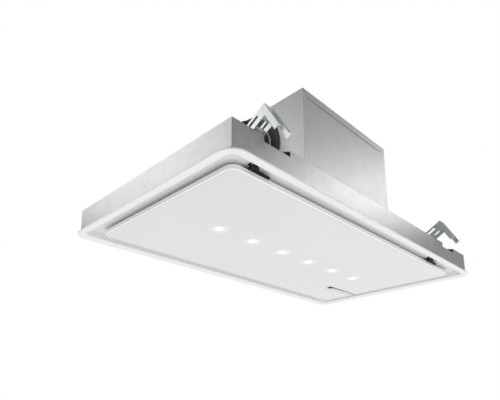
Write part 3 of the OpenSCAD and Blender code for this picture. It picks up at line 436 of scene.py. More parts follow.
def place(name: str, mesh: Mesh, finish: Finish, *nodes: str, like: Optional[str] = None) -> None:
    """Stand a finished mesh in the scene as a piece of the hood.

    Args:
        name: the piece's name.
        mesh: its mesh, in the frame's place.
        finish: what it is made of.
        nodes: the frame nodes that it stands for.
        like: the node whose body it takes where it stands for none.
    """
    owner = nodes[0] if nodes else like
    mesh.name = name
    mesh.materials.clear()
    mesh.materials.append(finish.build())
    piece = new_object(name, mesh)
    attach(piece, BODY[owner])
    if nodes:
        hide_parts(*nodes)
    LOG.info("%s: %d faces of %s", name, len(mesh.polygons), finish.name)


def dress(finish: Finish, width_mm: float, **pieces: str) -> None:
    """Stand softened copies of frame nodes in the scene, each given as the piece's name and its node."""
    for name, node in pieces.items():
        place(name, softened(node, width_mm), finish, node)


def turned(profile: Sequence[Pair], sides: int, at: Point = ORIGIN, axis: Point = (0.0, 0.0, 1.0),
           shell: Optional[Shell] = None) -> Shell:
    """Turn a profile round an axis, as on a lathe.

    Args:
        profile: (radius, height) pairs in millimetres; a closed loop, or open with its ends on the axis.
        sides: facets round the axis.
        at: the point that the heights start from, in millimetres.
        axis: the direction of the heights.
        shell: the working mesh to add to, or a new one.
    Returns:
        The working mesh.
    """
    shell = shell or bmesh.new()
    turn = Vector((0.0, 0.0, 1.0)).rotation_difference(Vector(axis))
    open_ends = profile[0][0] == 0.0 and profile[-1][0] == 0.0
    rings = []
    for radius, height in profile:
        count = 1 if radius == 0.0 else sides
        rings.append([shell.verts.new((Vector(at) + turn @ Vector((
            radius * math.cos(math.tau * i / sides), radius * math.sin(math.tau * i / sides), height))) * MM)
            for i in range(count)])
    pairs = list(zip(rings, rings[1:])) + ([] if open_ends else [(rings[-1], rings[0])])
    for low, high in pairs:
        for i in range(sides if len(low) + len(high) > 2 else 0):
            j = (i + 1) % sides
            corners = [low[i % len(low)], low[j % len(low)], high[j % len(high)], high[i % len(high)]]
            shell.faces.new([v for k, v in enumerate(corners) if v not in corners[:k]])
    return shell


def boxed(low: Point, high: Point, shell: Optional[Shell] = None) -> Shell:
    """Add a box between two corners, for a bevel or a cut to finish.

    Args:
        low: its lowest corner in millimetres.
        high: its highest corner.
        shell: the working mesh to add to, or a new one.
    Returns:
        The working mesh.
    """
    shell = shell or bmesh.new()
    middle = (Vector(low) + Vector(high)) / 2 * MM
    size = (Vector(high) - Vector(low)) * MM
    bmesh.ops.create_cube(shell, size=1.0, matrix=Matrix.LocRotScale(middle, None, size))
    return shell


def looped(levels: Sequence[Sequence[Point]], shell: Optional[Shell] = None, closed: bool = True) -> Shell:
    """Skin a row of loops that have the same number of points.

    Args:
        levels: the loops, in millimetres.
        shell: the working mesh to add to, or a new one.
        closed: whether the last loop joins the first.
    Returns:
        The working mesh.
    """
    shell = shell or bmesh.new()
    rings = [[shell.verts.new(Vector(p) * MM) for p in level] for level in levels]
    for low, high in list(zip(rings, rings[1:])) + ([(rings[-1], rings[0])] if closed else []):
        for i in range(len(low)):
            j = (i + 1) % len(low)
            shell.faces.new((low[i], low[j], high[j], high[i]))
    return shell


def rounded(half_x: float, half_y: float, radius: float, steps: int = 16) -> list:
    """Lay out a rectangle with round corners, anticlockwise from its lower right corner.

    Args:
        half_x: half its length.
        half_y: half its width.
        radius: its corners' radius.
        steps: points on each corner.
    Returns:
        Its (x, y) points.
    """
    points = []
    for turn, (side_x, side_y) in enumerate(((1, -1), (1, 1), (-1, 1), (-1, -1))):
        for i in range(steps + 1):
            angle = math.radians(90.0 * (turn - 1) + 90.0 * i / steps)
            points.append((side_x * (half_x - radius) + radius * math.cos(angle),
                           side_y * (half_y - radius) + radius * math.sin(angle)))
    return points


def cut(mesh: Mesh, tool: Mesh) -> Mesh:
    """Cut one closed mesh out of another.

    Args:
        mesh: the mesh that is cut, which is used up.
        tool: the mesh that cuts, which is used up.
    Returns:
        What is left.
    """
    cutter = new_object("cutter", tool)
    result = modified(mesh, "BOOLEAN", {"object": cutter, "operation": "DIFFERENCE", "solver": "EXACT"})
    bpy.data.objects.remove(cutter)
    bpy.data.meshes.remove(tool)
    return result


def joined(meshes: Sequence[Mesh], name: str) -> Mesh:
    """Put several meshes into one.

    Args:
        meshes: the meshes, which are used up.
        name: the new mesh's name.
    Returns:
        The one mesh.
    """
    shell = bmesh.new()
    for mesh in meshes:
        shell.from_mesh(mesh)
        bpy.data.meshes.remove(mesh)
    mesh = bpy.data.meshes.new(name)
    shell.to_mesh(mesh)
    shell.free()
    return mesh


class Grower:
    """A Geometry Nodes tree with named inputs that turns a shape into a plain mesh of many."""

    def __init__(self, name: str, finish: Finish, **inputs: object) -> None:
        """Start the tree.

        Args:
            name: the tree's name.
            finish: what the result is made of.
            inputs: each named input with its default: a whole number, a number or a vector.
        """
        self.finish = finish
        self.tree = bpy.data.node_groups.new(name, "GeometryNodeTree")
        face = self.tree.interface
        face.new_socket(name="Shape", in_out="INPUT", socket_type="NodeSocketGeometry")
        face.new_socket(name="Result", in_out="OUTPUT", socket_type="NodeSocketGeometry")
        kinds = {int: "NodeSocketInt", float: "NodeSocketFloat", tuple: "NodeSocketVector"}
        self.sockets = {}
        for label, value in inputs.items():
            socket = face.new_socket(name=label, in_out="INPUT", socket_type=kinds[type(value)])
            socket.default_value = value
            self.sockets[label] = socket.identifier
        self.inputs = add_node(self.tree, "NodeGroupInput")

    def stand(self, points: Socket, angle: Socket) -> None:
        """End the tree with the shape on each point, turned by Turn and about its own Z axis.

        Args:
            points: where the copies stand.
            angle: each copy's own turn.
        """
        tree, inputs = self.tree, self.inputs
        about = add_node(tree, "ShaderNodeCombineXYZ", {"Z": angle})[0]
        base, own = [add_node(tree, "FunctionNodeEulerToRotation", {0: turn})[0] for turn in (inputs["Turn"], about)]
        both = add_node(tree, "FunctionNodeRotateRotation", {"rotation_space": "LOCAL", 0: base, 1: own})[0]
        self.close(add_node(tree, "GeometryNodeInstanceOnPoints", {
            "Points": points, "Instance": inputs["Shape"], "Rotation": both})[0])

    def swept(self, line: Socket, radius: Socket) -> Socket:
        """Sweep a four sided profile of a radius along a line, and give back the tube."""
        profile = add_node(self.tree, "GeometryNodeCurvePrimitiveCircle", {"Resolution": 4, "Radius": radius})[0]
        return add_node(self.tree, "GeometryNodeCurveToMesh", {
            "Fill Caps": True, "Curve": line, "Profile Curve": profile})[0]

    def close(self, geometry: Socket) -> None:
        """End the tree with real geometry in its material.

        Args:
            geometry: the instances, or the mesh.
        """
        real = add_node(self.tree, "GeometryNodeRealizeInstances", {"Geometry": geometry})[0]
        painted = add_node(self.tree, "GeometryNodeSetMaterial", {
            "Material": self.finish.build(), "Geometry": real})[0]
        add_node(self.tree, "NodeGroupOutput", {0: painted})

    def grow(self, shape: Optional[Mesh] = None, **values: object) -> Mesh:
        """Grow a plain mesh from inputs by name and a shape, which is used up; some trees draw their own."""
        settings = {"node_group": self.tree, **{self.sockets[label]: value for label, value in values.items()}}
        return modified(shape or bpy.data.meshes.new("seed"), "NODES", settings)


class Row(Grower):
    """Copies of a shape along a straight line, each turned a little at random about its own axis."""

    def __init__(self, name: str, finish: Finish) -> None:
        """Build the tree: a line of points, an instance on each, a seeded turn.

        Args:
            name: the tree's name.
            finish: what the copies are made of.
        """
        super().__init__(name, finish, Count=4, Start=ORIGIN, Step=(0.01, 0.0, 0.0), Turn=ORIGIN, Spin=0.0, Seed=7)
        tree, inputs = self.tree, self.inputs
        line = add_node(tree, "GeometryNodeMeshLine", {
            "mode": "OFFSET", "Count": inputs["Count"], "Start Location": inputs["Start"],
            "Offset": inputs["Step"]})[0]
        low = add_node(tree, "ShaderNodeMath", {"operation": "MULTIPLY", 0: inputs["Spin"], 1: -1.0})[0]
        self.stand(line, add_node(tree, "FunctionNodeRandomValue", {
            "data_type": "FLOAT", 2: low, 3: inputs["Spin"], "Seed": inputs["Seed"]})[1])


class Ring(Grower):
    """Copies of a shape evenly round the Z axis, each turned to face outwards."""

    def __init__(self, name: str, finish: Finish) -> None:
        """Build the tree: points at the centre, each turned by its share of a circle.

        Args:
            name: the tree's name.
            finish: what the copies are made of.
        """
        super().__init__(name, finish, Count=12, Centre=ORIGIN, Turn=ORIGIN)
        tree, inputs = self.tree, self.inputs
        spot = add_node(tree, "GeometryNodeMeshLine", {
            "mode": "OFFSET", "Offset": ORIGIN, "Count": inputs["Count"], "Start Location": inputs["Centre"]})[0]
        order = add_node(tree, "GeometryNodeInputIndex")[0]
        share = add_node(tree, "ShaderNodeMath", {"operation": "DIVIDE", 0: order, 1: inputs["Count"]})[0]
        self.stand(spot, add_node(tree, "ShaderNodeMath", {"operation": "MULTIPLY", 0: share, 1: math.tau})[0])


class Weave(Grower):
    """Crimped wires side by side along X, every second one rolled half a turn, as in a woven mesh."""

    def __init__(self, name: str, finish: Finish) -> None:
        """Build the tree: a resampled line, a wavy crimp, a thin tube and a row of them.

        Args:
            name: the tree's name.
            finish: what the wires are made of.
        """
        super().__init__(name, finish, Count=40, Length=0.24, Pitch=0.007, Crimp=0.0007, Radius=0.00055,
                         Centre=ORIGIN, Turn=0.0)
        tree, inputs = self.tree, self.inputs
        where = add_node(tree, "GeometryNodeInputPosition")[0]
        known = {name: inputs[name] for name in ("Count", "Length", "Pitch", "Crimp")}
        known["along"] = add_node(tree, "ShaderNodeSeparateXYZ", {0: where})["X"]
        known["order"] = add_node(tree, "GeometryNodeInputIndex")[0]
        for result, operation, *terms in (
                ("back", "MULTIPLY", "Length", -0.5), ("front", "MULTIPLY", "Length", 0.5),
                ("step", "MULTIPLY", "Pitch", 0.5), ("turns", "DIVIDE", "along", "Pitch"),
                ("phase", "MULTIPLY", "turns", math.pi), ("wave", "COSINE", "phase"),
                ("lift", "MULTIPLY", "wave", "Crimp"), ("spread", "MULTIPLY", "Count", "Pitch"),
                ("lead", "SUBTRACT", "Pitch", "spread"), ("first", "MULTIPLY", "lead", 0.5),
                ("parity", "MODULO", "order", 2.0), ("roll", "MULTIPLY", "parity", math.pi)):
            known[result] = add_node(tree, "ShaderNodeMath", {
                "operation": operation, **{i: known.get(term, term) for i, term in enumerate(terms)}})[0]
        start, end, offset, first, step, about, quarter = [
            add_node(tree, "ShaderNodeCombineXYZ", {axis: value})[0] for axis, value in (
                ("X", known["back"]), ("X", known["front"]), ("Z", known["lift"]), ("Y", known["first"]),
                ("Y", known["Pitch"]), ("X", known["roll"]), ("Z", inputs["Turn"]))]
        line = add_node(tree, "GeometryNodeCurvePrimitiveLine", {"Start": start, "End": end})[0]
        points = add_node(tree, "GeometryNodeResampleCurve", {
            "mode": "LENGTH", "Curve": line, "Length": known["step"]})[0]
        crimped = add_node(tree, "GeometryNodeSetPosition", {"Geometry": points, "Offset": offset})[0]
        row = add_node(tree, "GeometryNodeMeshLine", {
            "mode": "OFFSET", "Count": inputs["Count"], "Start Location": first, "Offset": step})[0]
        turn = add_node(tree, "FunctionNodeEulerToRotation", {0: about})[0]
        wires = add_node(tree, "GeometryNodeInstanceOnPoints", {
            "Points": row, "Instance": self.swept(crimped, inputs["Radius"]), "Rotation": turn})[0]
        self.close(add_node(tree, "GeometryNodeTransform", {
            "Geometry": wires, "Translation": inputs["Centre"], "Rotation": quarter})[0])


class Thread(Grower):
    """A ridge of four sided section wound round the Z axis."""

    def __init__(self, name: str, finish: Finish) -> None:
        """Build the tree: a helix swept with a four sided profile.

        Args:
            name: the tree's name.
            finish: what the thread is cut in.
        """
        super().__init__(name, finish, Turns=40.0, Radius=0.0027, Height=0.04, Ridge=0.0003, Centre=ORIGIN)
        tree, inputs = self.tree, self.inputs
        helix = add_node(tree, "GeometryNodeCurveSpiral", {
            "Resolution": 14, "Rotations": inputs["Turns"], "Start Radius": inputs["Radius"],
            "End Radius": inputs["Radius"], "Height": inputs["Height"]})[0]
        self.close(add_node(tree, "GeometryNodeTransform", {
            "Geometry": self.swept(helix, inputs["Ridge"]), "Translation": inputs["Centre"]})[0])


class Screws(Row):
    """A row of pan head screws, each stopped at its own angle."""

    # The most that a head is turned, in radians, then its outline and its cross as shares of its radius and height.
    SPIN = 1.5
    PROFILE = ((0.0, 0.0), (1.0, 0.0), (1.0, 0.4), (0.93, 0.72), (0.72, 0.94), (0.4, 1.0), (0.0, 1.0))
    CROSS = (0.58, 0.13, 0.45, 1.5)

    def head(self, radius: float, height: float) -> Mesh:
        """Make one pan head with a cross recess, standing on z = 0.

        Args:
            radius: the head's radius in millimetres.
            height: its height.
        Returns:
            The head.
        """
        long, wide = self.CROSS[0] * radius, self.CROSS[1] * radius
        low, high = self.CROSS[2] * height, self.CROSS[3] * height
        head = into_mesh(turned([(radius * r, height * h) for r, h in self.PROFILE], 20), "head", 40.0)
        for x, y in ((long, wide), (wide, long)):
            head = cut(head, into_mesh(boxed((-x, -y, low), (x, y, high)), "slot"))
        return head

    def heads(self, count: int, seed: int, start: Point, step: Point, turn: Point = ORIGIN,
              size: Pair = (3.2, 1.8)) -> Mesh:
        """Set a row of heads of a radius and height, in millimetres, each at a seeded angle and tipped by a turn."""
        return self.grow(self.head(*size), Count=count, Spin=self.SPIN, Seed=seed, Start=metres(*start),
                         Step=metres(*step), Turn=turn)


@dataclass
class TrimRing:
    """The white strip round the cut-out, with the rail behind it."""

    half_x: float = 450.0
    half_y: float = 250.0
    corner: float = 32.0
    section: Tuple[Pair, ...] = (
        (0.5, 0.0), (0.15, -0.12), (0.0, -0.5), (0.0, -2.7), (0.12, -3.2), (0.45, -3.62), (0.95, -3.88),
        (1.6, -3.97), (3.0, -3.82), (6.0, -3.33), (9.0, -2.8), (12.0, -2.23), (15.0, -1.64), (17.1, -1.2),
        (17.6, -1.05), (17.9, -0.8), (18.0, -0.45), (17.9, -0.4), (11.0, -0.4), (11.0, 0.0))

    def build(self) -> None:
        """Sweep the rounded section round the cut-out and dress the rail."""
        levels = [[(x, y, z) for x, y in rounded(self.half_x - s, self.half_y - s, self.corner - s, 28)]
                  for s, z in self.section]
        place("trim_strip", into_mesh(looped(levels), "trim_strip", 35.0), TRIM_COAT, "trim_frame")
        dress(TRAY_COAT, 0.4, rail="frame_rail")


@dataclass
class Recess:
    """The white pan above the cover."""

    fold_mm: float = 0.6

    def build(self) -> None:
        """Round the folds of the shelf and of the raised middle."""
        dress(TRAY_COAT, self.fold_mm, recess_shelf="recess_tray", recess_hood="filter_tray")


@dataclass
class SteelBody:
    """The galvanised walls, the top plate and the sleeve between them."""

    plate_top: float = 54.7
    rivet_r: float = 2.4
    rivet_edge: Pair = (427.2, 227.2)
    rivet_step: Pair = (160.0, 120.0)

    def build(self) -> None:
        """Round the folds and set the rivets that hold the top plate."""
        dress(WALL_STEEL, 0.6, walls="housing_walls")
        dress(WALL_STEEL, 0.3, top_sheet="top_plate")
        dress(WALL_STEEL, 0.4, sleeve="plenum_sleeve")
        row = Row("rivet_row", WALL_STEEL)
        (edge_x, edge_y), (step_x, step_y), top = self.rivet_edge, self.rivet_step, self.plate_top
        rivets = []
        for side in (-1, 1):
            rivets.append(row.grow(self.rivet(), Count=4, Start=metres(-1.5 * step_x, side * edge_y, top),
                                   Step=metres(step_x, 0.0, 0.0)))
            rivets.append(row.grow(self.rivet(), Count=3, Start=metres(side * edge_x, -step_y, top),
                                   Step=metres(0.0, step_y, 0.0)))
        place("top_rivets", joined(rivets, "top_rivets"), WALL_STEEL, like="top_plate")

    def rivet(self) -> Mesh:
        """Make one low domed rivet head."""
        r = self.rivet_r
        return into_mesh(turned([(0.0, -0.05), (r, -0.05), (r, 0.2), (r * 0.85, 0.6), (r * 0.5, 0.9),
                                 (0.5, 0.8), (0.0, 0.55)], 16), "rivet", 50.0)


@dataclass
class MotorBox:
    """The raised box with its two panels and its screws."""

    half_x: float = 167.5
    half_y: float = 165.0
    rim: float = 16.0
    low: float = 54.7
    high: float = 295.0
    sheet: float = 1.2
    screw_apart: float = 90.0
    fan_z: float = 162.0
    duct_z: float = 196.0
    plate_x: float = -171.5
    screw_circle: float = 88.0
    dimple_r: float = 3.0
    weld_step: float = 60.0
    weld_low: float = 85.0
    fan_screw_y: float = 15.0
    bead_wide: float = 1.2
    # How deep each bead lies behind the face; the mitre's is given as its shortening, depth and width.
    side_bead: Pair = (1.25, 0.55)
    top_bead: Pair = (1.2, 0.6)
    mitre_bead: Point = (3.0, 0.8, 1.5)
    gap: float = 0.3
    feather: float = 14.0
    lap: Pair = (0.9, 0.2)
    lip_in: float = 0.04
    bead_short: float = 0.05
    hair: float = 0.01

    def build(self) -> None:
        """Round the folded box and its panels, and set its screws and spot welds, and grey beads of painted shade
        along its seams.
        """
        dress(BOX_STEEL, 0.7, box_shell="box_wrap")
        dress(BOX_STEEL, 0.3, box_near_panel="box_front_panel", box_far_panel="box_back_panel")
        self.screws()
        self.welds()
        self.seams()

    def across(self, face: int, first: float, second: float) -> list:
        """Turn two depths behind the near (-1) or far (1) face into a lower and an upper Y."""
        return sorted((face * (self.half_y - first), face * (self.half_y - second)))

    def seams(self) -> None:
        """Run a grey bead of painted shade, standing in for the step's shadow line, along the left and upper rims and
        down the left mitre, front and back.
        """
        inner, top, wide = self.half_x - self.rim, self.high - self.rim, self.bead_wide
        short, deep, thick = self.mitre_bead
        mitre = Vector((self.rim * math.sqrt(2.0) - short, deep, thick)) * MM
        for face, name in ((-1, "near"), (1, "far")):
            shell = bmesh.new()
            low, high = self.across(face, *self.side_bead)
            boxed((-inner, low, self.low + self.gap), (wide - inner, high, top), shell)
            low, high = self.across(face, *self.top_bead)
            boxed((wide / 2 - inner, low, top - wide), (inner - wide / 2, high, top - self.bead_short), shell)
            middle = Vector((self.rim / 2 - self.half_x, face * (self.half_y - self.gap), self.high - self.rim / 2))
            bmesh.ops.create_cube(shell, size=1.0, matrix=Matrix.LocRotScale(
                middle * MM, Euler((0.0, math.pi / 4, 0.0)), mitre))
            bead = bevelled(into_mesh(shell, "bead"), self.gap, 1)
            # painted shade: grey beads where the step between panel and rim casts its line
            place("box_seam_shade_" + name, bead, SEAM_SHADE, like="box_wrap")
            place("box_joint_lip_" + name, self.feathered(face), BOX_STEEL, like="box_wrap")

    def feathered(self, face: int) -> Mesh:
        """Feather the panel into the right rim.

        Args:
            face: -1 for the near panel, 1 for the far one.
        Returns:
            A thin wedge from the panel up to the rim's face.
        """
        inner, sunk = self.half_x - self.rim, self.half_y - self.sheet
        low, high = self.across(face, self.sheet + self.gap, self.lip_in)
        wedge = boxed((inner - self.feather, low, self.low + self.gap),
                      (inner + self.lap[0], high, self.high - self.rim + self.lap[1]))
        for vertex in wedge.verts:
            if vertex.co.x < inner * MM and abs(vertex.co.y) > sunk * MM:
                vertex.co.y = face * (sunk - self.hair) * MM
        return into_mesh(wedge, "lip")

    def screws(self) -> None:
        """Set the cross recess screws where the frame has its plain ones."""
        row, quarter = Screws("screw_row", BRIGHT), math.pi / 2
        middle, apart = (self.low + self.high) / 2, self.screw_apart
        reach = self.screw_circle * math.sqrt(0.5)
        found = [row.heads(3, 3 + side, (side * (self.half_x - self.rim / 2), self.half_y, middle - apart),
                           (0.0, 0.0, apart), (-quarter, 0.0, 0.0)) for side in (-1, 1)]
        found.append(row.heads(2, 11, (self.half_x, -self.fan_screw_y, self.fan_z),
                               (0.0, 2 * self.fan_screw_y, 0.0), (0.0, quarter, 0.0)))
        found += [row.heads(2, 20 + side, (self.plate_x, side * reach, self.duct_z - reach),
                            (0.0, 0.0, 2 * reach), (0.0, -quarter, 0.0)) for side in (-1, 1)]
        place("box_screw_heads", joined(found, "heads"), BRIGHT, "box_screws")

    def welds(self) -> None:
        """Press shallow spot weld dimples along the upper rims and down the near ones."""
        row, rim, step = Row("weld_row", BOX_STEEL), self.rim / 2, self.weld_step
        spots = [row.grow(self.dimple(), Count=5, Turn=(-face * math.pi / 2, 0.0, 0.0),
                          Start=metres(-2 * step, face * self.half_y, self.high - rim), Step=metres(step, 0.0, 0.0))
                 for face in (-1, 1)]
        spots += [row.grow(self.dimple(), Count=4, Turn=(math.pi / 2, 0.0, 0.0),
                           Start=metres(side * (self.half_x - rim), -self.half_y, self.weld_low),
                           Step=metres(0.0, 0.0, step))
                  for side in (-1, 1)]
        place("box_spot_welds", joined(spots, "welds"), BOX_STEEL, like="box_wrap")

    def dimple(self) -> Mesh:
        """Make one spot weld: a faint raised ring round a dished middle."""
        r = self.dimple_r
        return into_mesh(turned([(0.0, -0.1), (r, -0.1), (r * 0.9, 0.06), (r * 0.78, 0.12), (r * 0.6, 0.04),
                                 (0.0, 0.0)], 16), "dimple", 60.0)


@dataclass
class DuctPort:
    """The round collar with its base plate, seal and non-return flaps."""

    axis_z: float = 196.0
    radius: float = 75.0
    bead_at: Pair = (-190.0, -183.0)

    def build(self) -> None:
        """Round the collar, its plate, its seal and the flaps, and roll its outer beads."""
        dress(DARK_ABS, 0.9, duct_plate="duct_base")
        dress(DARK_ABS, 0.6, duct_tube="duct_collar")
        dress(SEAL_FOAM, 0.6, duct_seal_ring="duct_seal")
        dress(BLACK_NYLON, 0.35, flap_front_leaf="flap_front", flap_back_leaf="flap_back")
        beads, r = bmesh.new(), self.radius
        for x in self.bead_at:
            turned([(r - 0.3, -0.9), (r, -0.8), (r + 0.35, 0.0), (r, 0.8), (r - 0.3, 0.9)], 96,
                   (x, 0.0, self.axis_z), (1.0, 0.0, 0.0), beads)
        place("duct_beads", into_mesh(beads, "duct_beads", 60.0), DARK_ABS, like="duct_collar")


@dataclass
class Fan:
    """The casing, bell mouths, motor and its brackets."""

    shaft: Pair = (50.0, 162.0)
    motor_r: float = 40.0
    fin_y: Pair = (14.0, 50.0)
    fin_reach: Pair = (-0.5, 1.4)
    fin_half: float = 0.8
    fin_count: int = 30

    def build(self) -> None:
        """Round the sheet parts and the motor, and stand cooling fins round it."""
        dress(BOX_STEEL, 0.4, fan_casing="scroll_casing")
        dress(BOX_STEEL, 0.2, bell_mouths="inlet_rings")
        dress(ZINC, 0.4, motor_arms="motor_bracket")
        dress(ZINC, 0.5, casing_foot="fan_bracket")
        dress(CAST, 1.0, motor_can="fan_motor")
        (low, high), (root, tip) = self.fin_y, self.fin_reach
        fin = into_mesh(boxed((self.motor_r + root, -self.fin_half, low),
                              (self.motor_r + tip, self.fin_half, high)), "fin")
        fins = Ring("motor_fins", CAST).grow(fin, Count=self.fin_count, Turn=(-math.pi / 2, 0.0, 0.0),
                                             Centre=metres(self.shaft[0], 0.0, self.shaft[1]))
        place("motor_cooling_fins", fins, CAST, like="fan_motor")


@dataclass
class Wiring:
    """The supply box on the top plate, with its lid, gland, board and capacitor."""

    left: float = 193.5
    length: float = 118.0
    lid_top: float = 94.7
    screw_in: float = 7.0
    screw_y: float = 53.0
    louvres: int = 9
    louvre_x: float = 220.5
    louvre_step: float = 8.0
    louvre: Block = ((-1.1, -24.0, -0.2), (1.1, 24.0, 1.0))
    gland: Point = (252.5, 60.0, 73.7)
    rib_count: int = 16
    rib: Block = ((7.9, -0.55, 6.4), (8.9, 0.55, 18.6))

    def build(self) -> None:
        """Round the mouldings, and add the lid's screws and louvres and the gland's ribs."""
        dress(GREY_ABS, 0.9, supply_box="wiring_box", supply_lid="wiring_lid")
        row = Screws("lid_screws", BRIGHT)
        heads = [row.heads(2, 31 + side, (self.left + self.screw_in, side * self.screw_y, self.lid_top),
                           (self.length - 2 * self.screw_in, 0.0, 0.0), size=(2.6, 1.5)) for side in (-1, 1)]
        place("supply_lid_screws", joined(heads, "heads"), BRIGHT, like="wiring_lid")
        slat = bevelled(into_mesh(boxed(*self.louvre), "slat"), 0.7, 2)
        slats = Row("lid_louvres", GREY_ABS).grow(slat, Count=self.louvres, Step=metres(self.louvre_step, 0.0, 0.0),
                                                  Start=metres(self.louvre_x, 0.0, self.lid_top))
        place("supply_lid_louvres", slats, GREY_ABS, like="wiring_lid")
        dress(BLACK_NYLON, 0.5, gland_body="cable_gland")
        ribs = Ring("gland_ribs", BLACK_NYLON).grow(
            into_mesh(boxed(*self.rib), "rib"), Count=self.rib_count, Turn=(-math.pi / 2, 0.0, 0.0),
            Centre=metres(*self.gland))
        place("gland_ribs", ribs, BLACK_NYLON, like="cable_gland")
        dress(LAMINATE, 0.25, control_board="circuit_board")
        dress(WHITE_ABS, 1.2, motor_capacitor="capacitor")


@dataclass
class Filters:
    """The two grease filters: frames, woven mesh and sprung latches."""

    centre_x: float = 131.0
    size: Pair = (237.0, 259.0)
    wire_z: float = 30.6
    pitch: float = 7.0
    crimp: float = 0.7
    grip: Point = (24.0, -139.7, 22.3)
    rib: Block = ((-0.7, -0.5, 0.0), (0.7, 0.2, 2.4))
    grip_ribs: int = 13
    rib_step: float = 4.0

    def build(self) -> None:
        """Round the frames and latches, weave the wires and rib the grips."""
        weave, ribs = Weave("filter_weave", FILTER_ALUMINIUM), Row("grip_ribs", GREY_ABS)
        (length, width), (grip_x, grip_y, grip_z) = self.size, self.grip
        for side, name in ((-1, "left"), (1, "right")):
            dress(FILTER_ALUMINIUM, 0.9, **{"filter_rim_" + name: "filter_frame_" + name})
            dress(GREY_ABS, 0.6, **{"filter_grip_" + name: "filter_latch_" + name})
            wires = [weave.grow(Count=int(reach / self.pitch), Length=run * MM, Pitch=self.pitch * MM, Turn=turn,
                                Crimp=crimp * MM, Centre=metres(side * self.centre_x, 0.0, self.wire_z))
                     for run, reach, crimp, turn in ((length, width, self.crimp, 0.0),
                                                     (width, length, -self.crimp, math.pi / 2))]
            place("filter_wires_" + name, joined(wires, "wires"), FILTER_ALUMINIUM, like="filter_mesh_" + name)
            grips = ribs.grow(into_mesh(boxed(*self.rib), "bar"), Count=self.grip_ribs,
                              Step=metres(self.rib_step, 0.0, 0.0),
                              Start=metres(side * self.centre_x - grip_x, grip_y, grip_z))
            place("filter_grip_ribs_" + name, grips, GREY_ABS, like="filter_latch_" + name)


@dataclass
class Clamps:
    """The four ceiling clamps with their nuts, screws and bushes."""

    spots: Tuple[Tuple[str, float, float], ...] = (
        ("front_left", -351.75, -207.0), ("front_right", 317.25, -207.0), ("back_left", 351.75, 207.0),
        ("back_right", -317.25, 207.0))
    foot_z: float = 13.0
    collar_z: Pair = (21.0, 31.7)
    top_z: float = 89.0
    radius: float = 3.0
    pitch: float = 1.4
    ridge: float = 0.4
    bite: float = 0.02
    run_out: Pair = (0.6, 1.4)
    edge: float = 0.4
    collar: float = 2.0
    tip: Pair = (1.0, 1.2)
    socket: Pair = (1.5, 4.0)

    def build(self) -> None:
        """Round the brackets and nuts, and turn the screws with their threads."""
        for name, _, _ in self.spots:
            dress(ZINC, 0.4, **{"bracket_" + name: "clamp_" + name})
            dress(BRIGHT, 0.5, **{"nut_" + name: "clamp_nut_" + name})
        dress(GREY_ABS, 0.6, screw_bushes="clamp_bases")
        helix = Thread("screw_thread", BRIGHT)
        low = self.collar_z[1] + self.run_out[0]
        height = self.top_z - self.run_out[1] - low
        parts = []
        for _, x, y in self.spots:
            parts += [self.screw(x, y), helix.grow(
                Turns=height / self.pitch, Height=height * MM, Radius=(self.radius - self.ridge - self.bite) * MM,
                Ridge=self.ridge * MM, Centre=metres(x, y, low))]
        place("threaded_screws", joined(parts, "screws"), BRIGHT, "clamp_screws")

    def screw(self, x: float, y: float) -> Mesh:
        """Turn one screw: plain foot with a hexagon socket, stop collar, threaded core and chamfered end.

        Args:
            x: its place along the hood in millimetres.
            y: its place across the hood.
        Returns:
            The screw without its thread.
        """
        (low, high), edge, r, core = self.collar_z, self.edge, self.radius, self.radius - self.ridge
        foot, top, wide = self.foot_z, self.top_z, self.radius + self.collar
        body = into_mesh(turned([
            (0.0, foot), (r - edge, foot), (r, foot + edge), (r, low), (wide - edge, low), (wide, low + edge),
            (wide, high - edge), (wide - edge, high), (core, high), (core, top - self.tip[1]),
            (core - self.tip[0], top), (0.0, top)], 28, (x, y, 0.0)), "screw")
        across, deep = self.socket
        key = into_mesh(turned([(0.0, foot - 1), (across, foot - 1), (across, foot + deep), (0.0, foot + deep)], 6,
                               (x, y, 0.0)), "key")
        return cut(body, key)


class Mark(Enum):
    """The plain signs on the touch keys."""

    POWER = "power"
    LESS = "less"
    MORE = "more"
    BOOST = "boost"
    LAMP = "lamp"

    def bars(self, half: float) -> Tuple[Block, ...]:
        """Lay out the sign's bars.

        Args:
            half: half the width of a line, in millimetres.
        Returns:
            Each bar's two corners from the key's middle; a crossing bar lies a little lower.
        """
        wide = 2 * half
        return {
            Mark.POWER: (((-half, 0.3, -0.02), (half, 2.6, 0.0)),),
            Mark.LESS: (((-2.0, -half, 0.0), (2.0, half, 0.0)),),
            Mark.MORE: (((-2.0, -half, 0.0), (2.0, half, 0.0)), ((-half, -2.0, -0.02), (half, 2.0, 0.0))),
            Mark.BOOST: (((-2.0, -2.0, 0.0), (wide - 2.0, -0.5, 0.0)), ((-0.4, -2.0, 0.0), (wide - 0.4, 0.55, 0.0)),
                         ((1.2, -2.0, 0.0), (wide + 1.2, 1.6, 0.0))),
            Mark.LAMP: (),
        }[self]

    def ring(self) -> Optional[Tuple[float, int]]:
        """Give the radius and the sides of the sign's ring, where it has one."""
        return {Mark.POWER: (1.5, 28), Mark.LAMP: (1.0, 24)}.get(self)


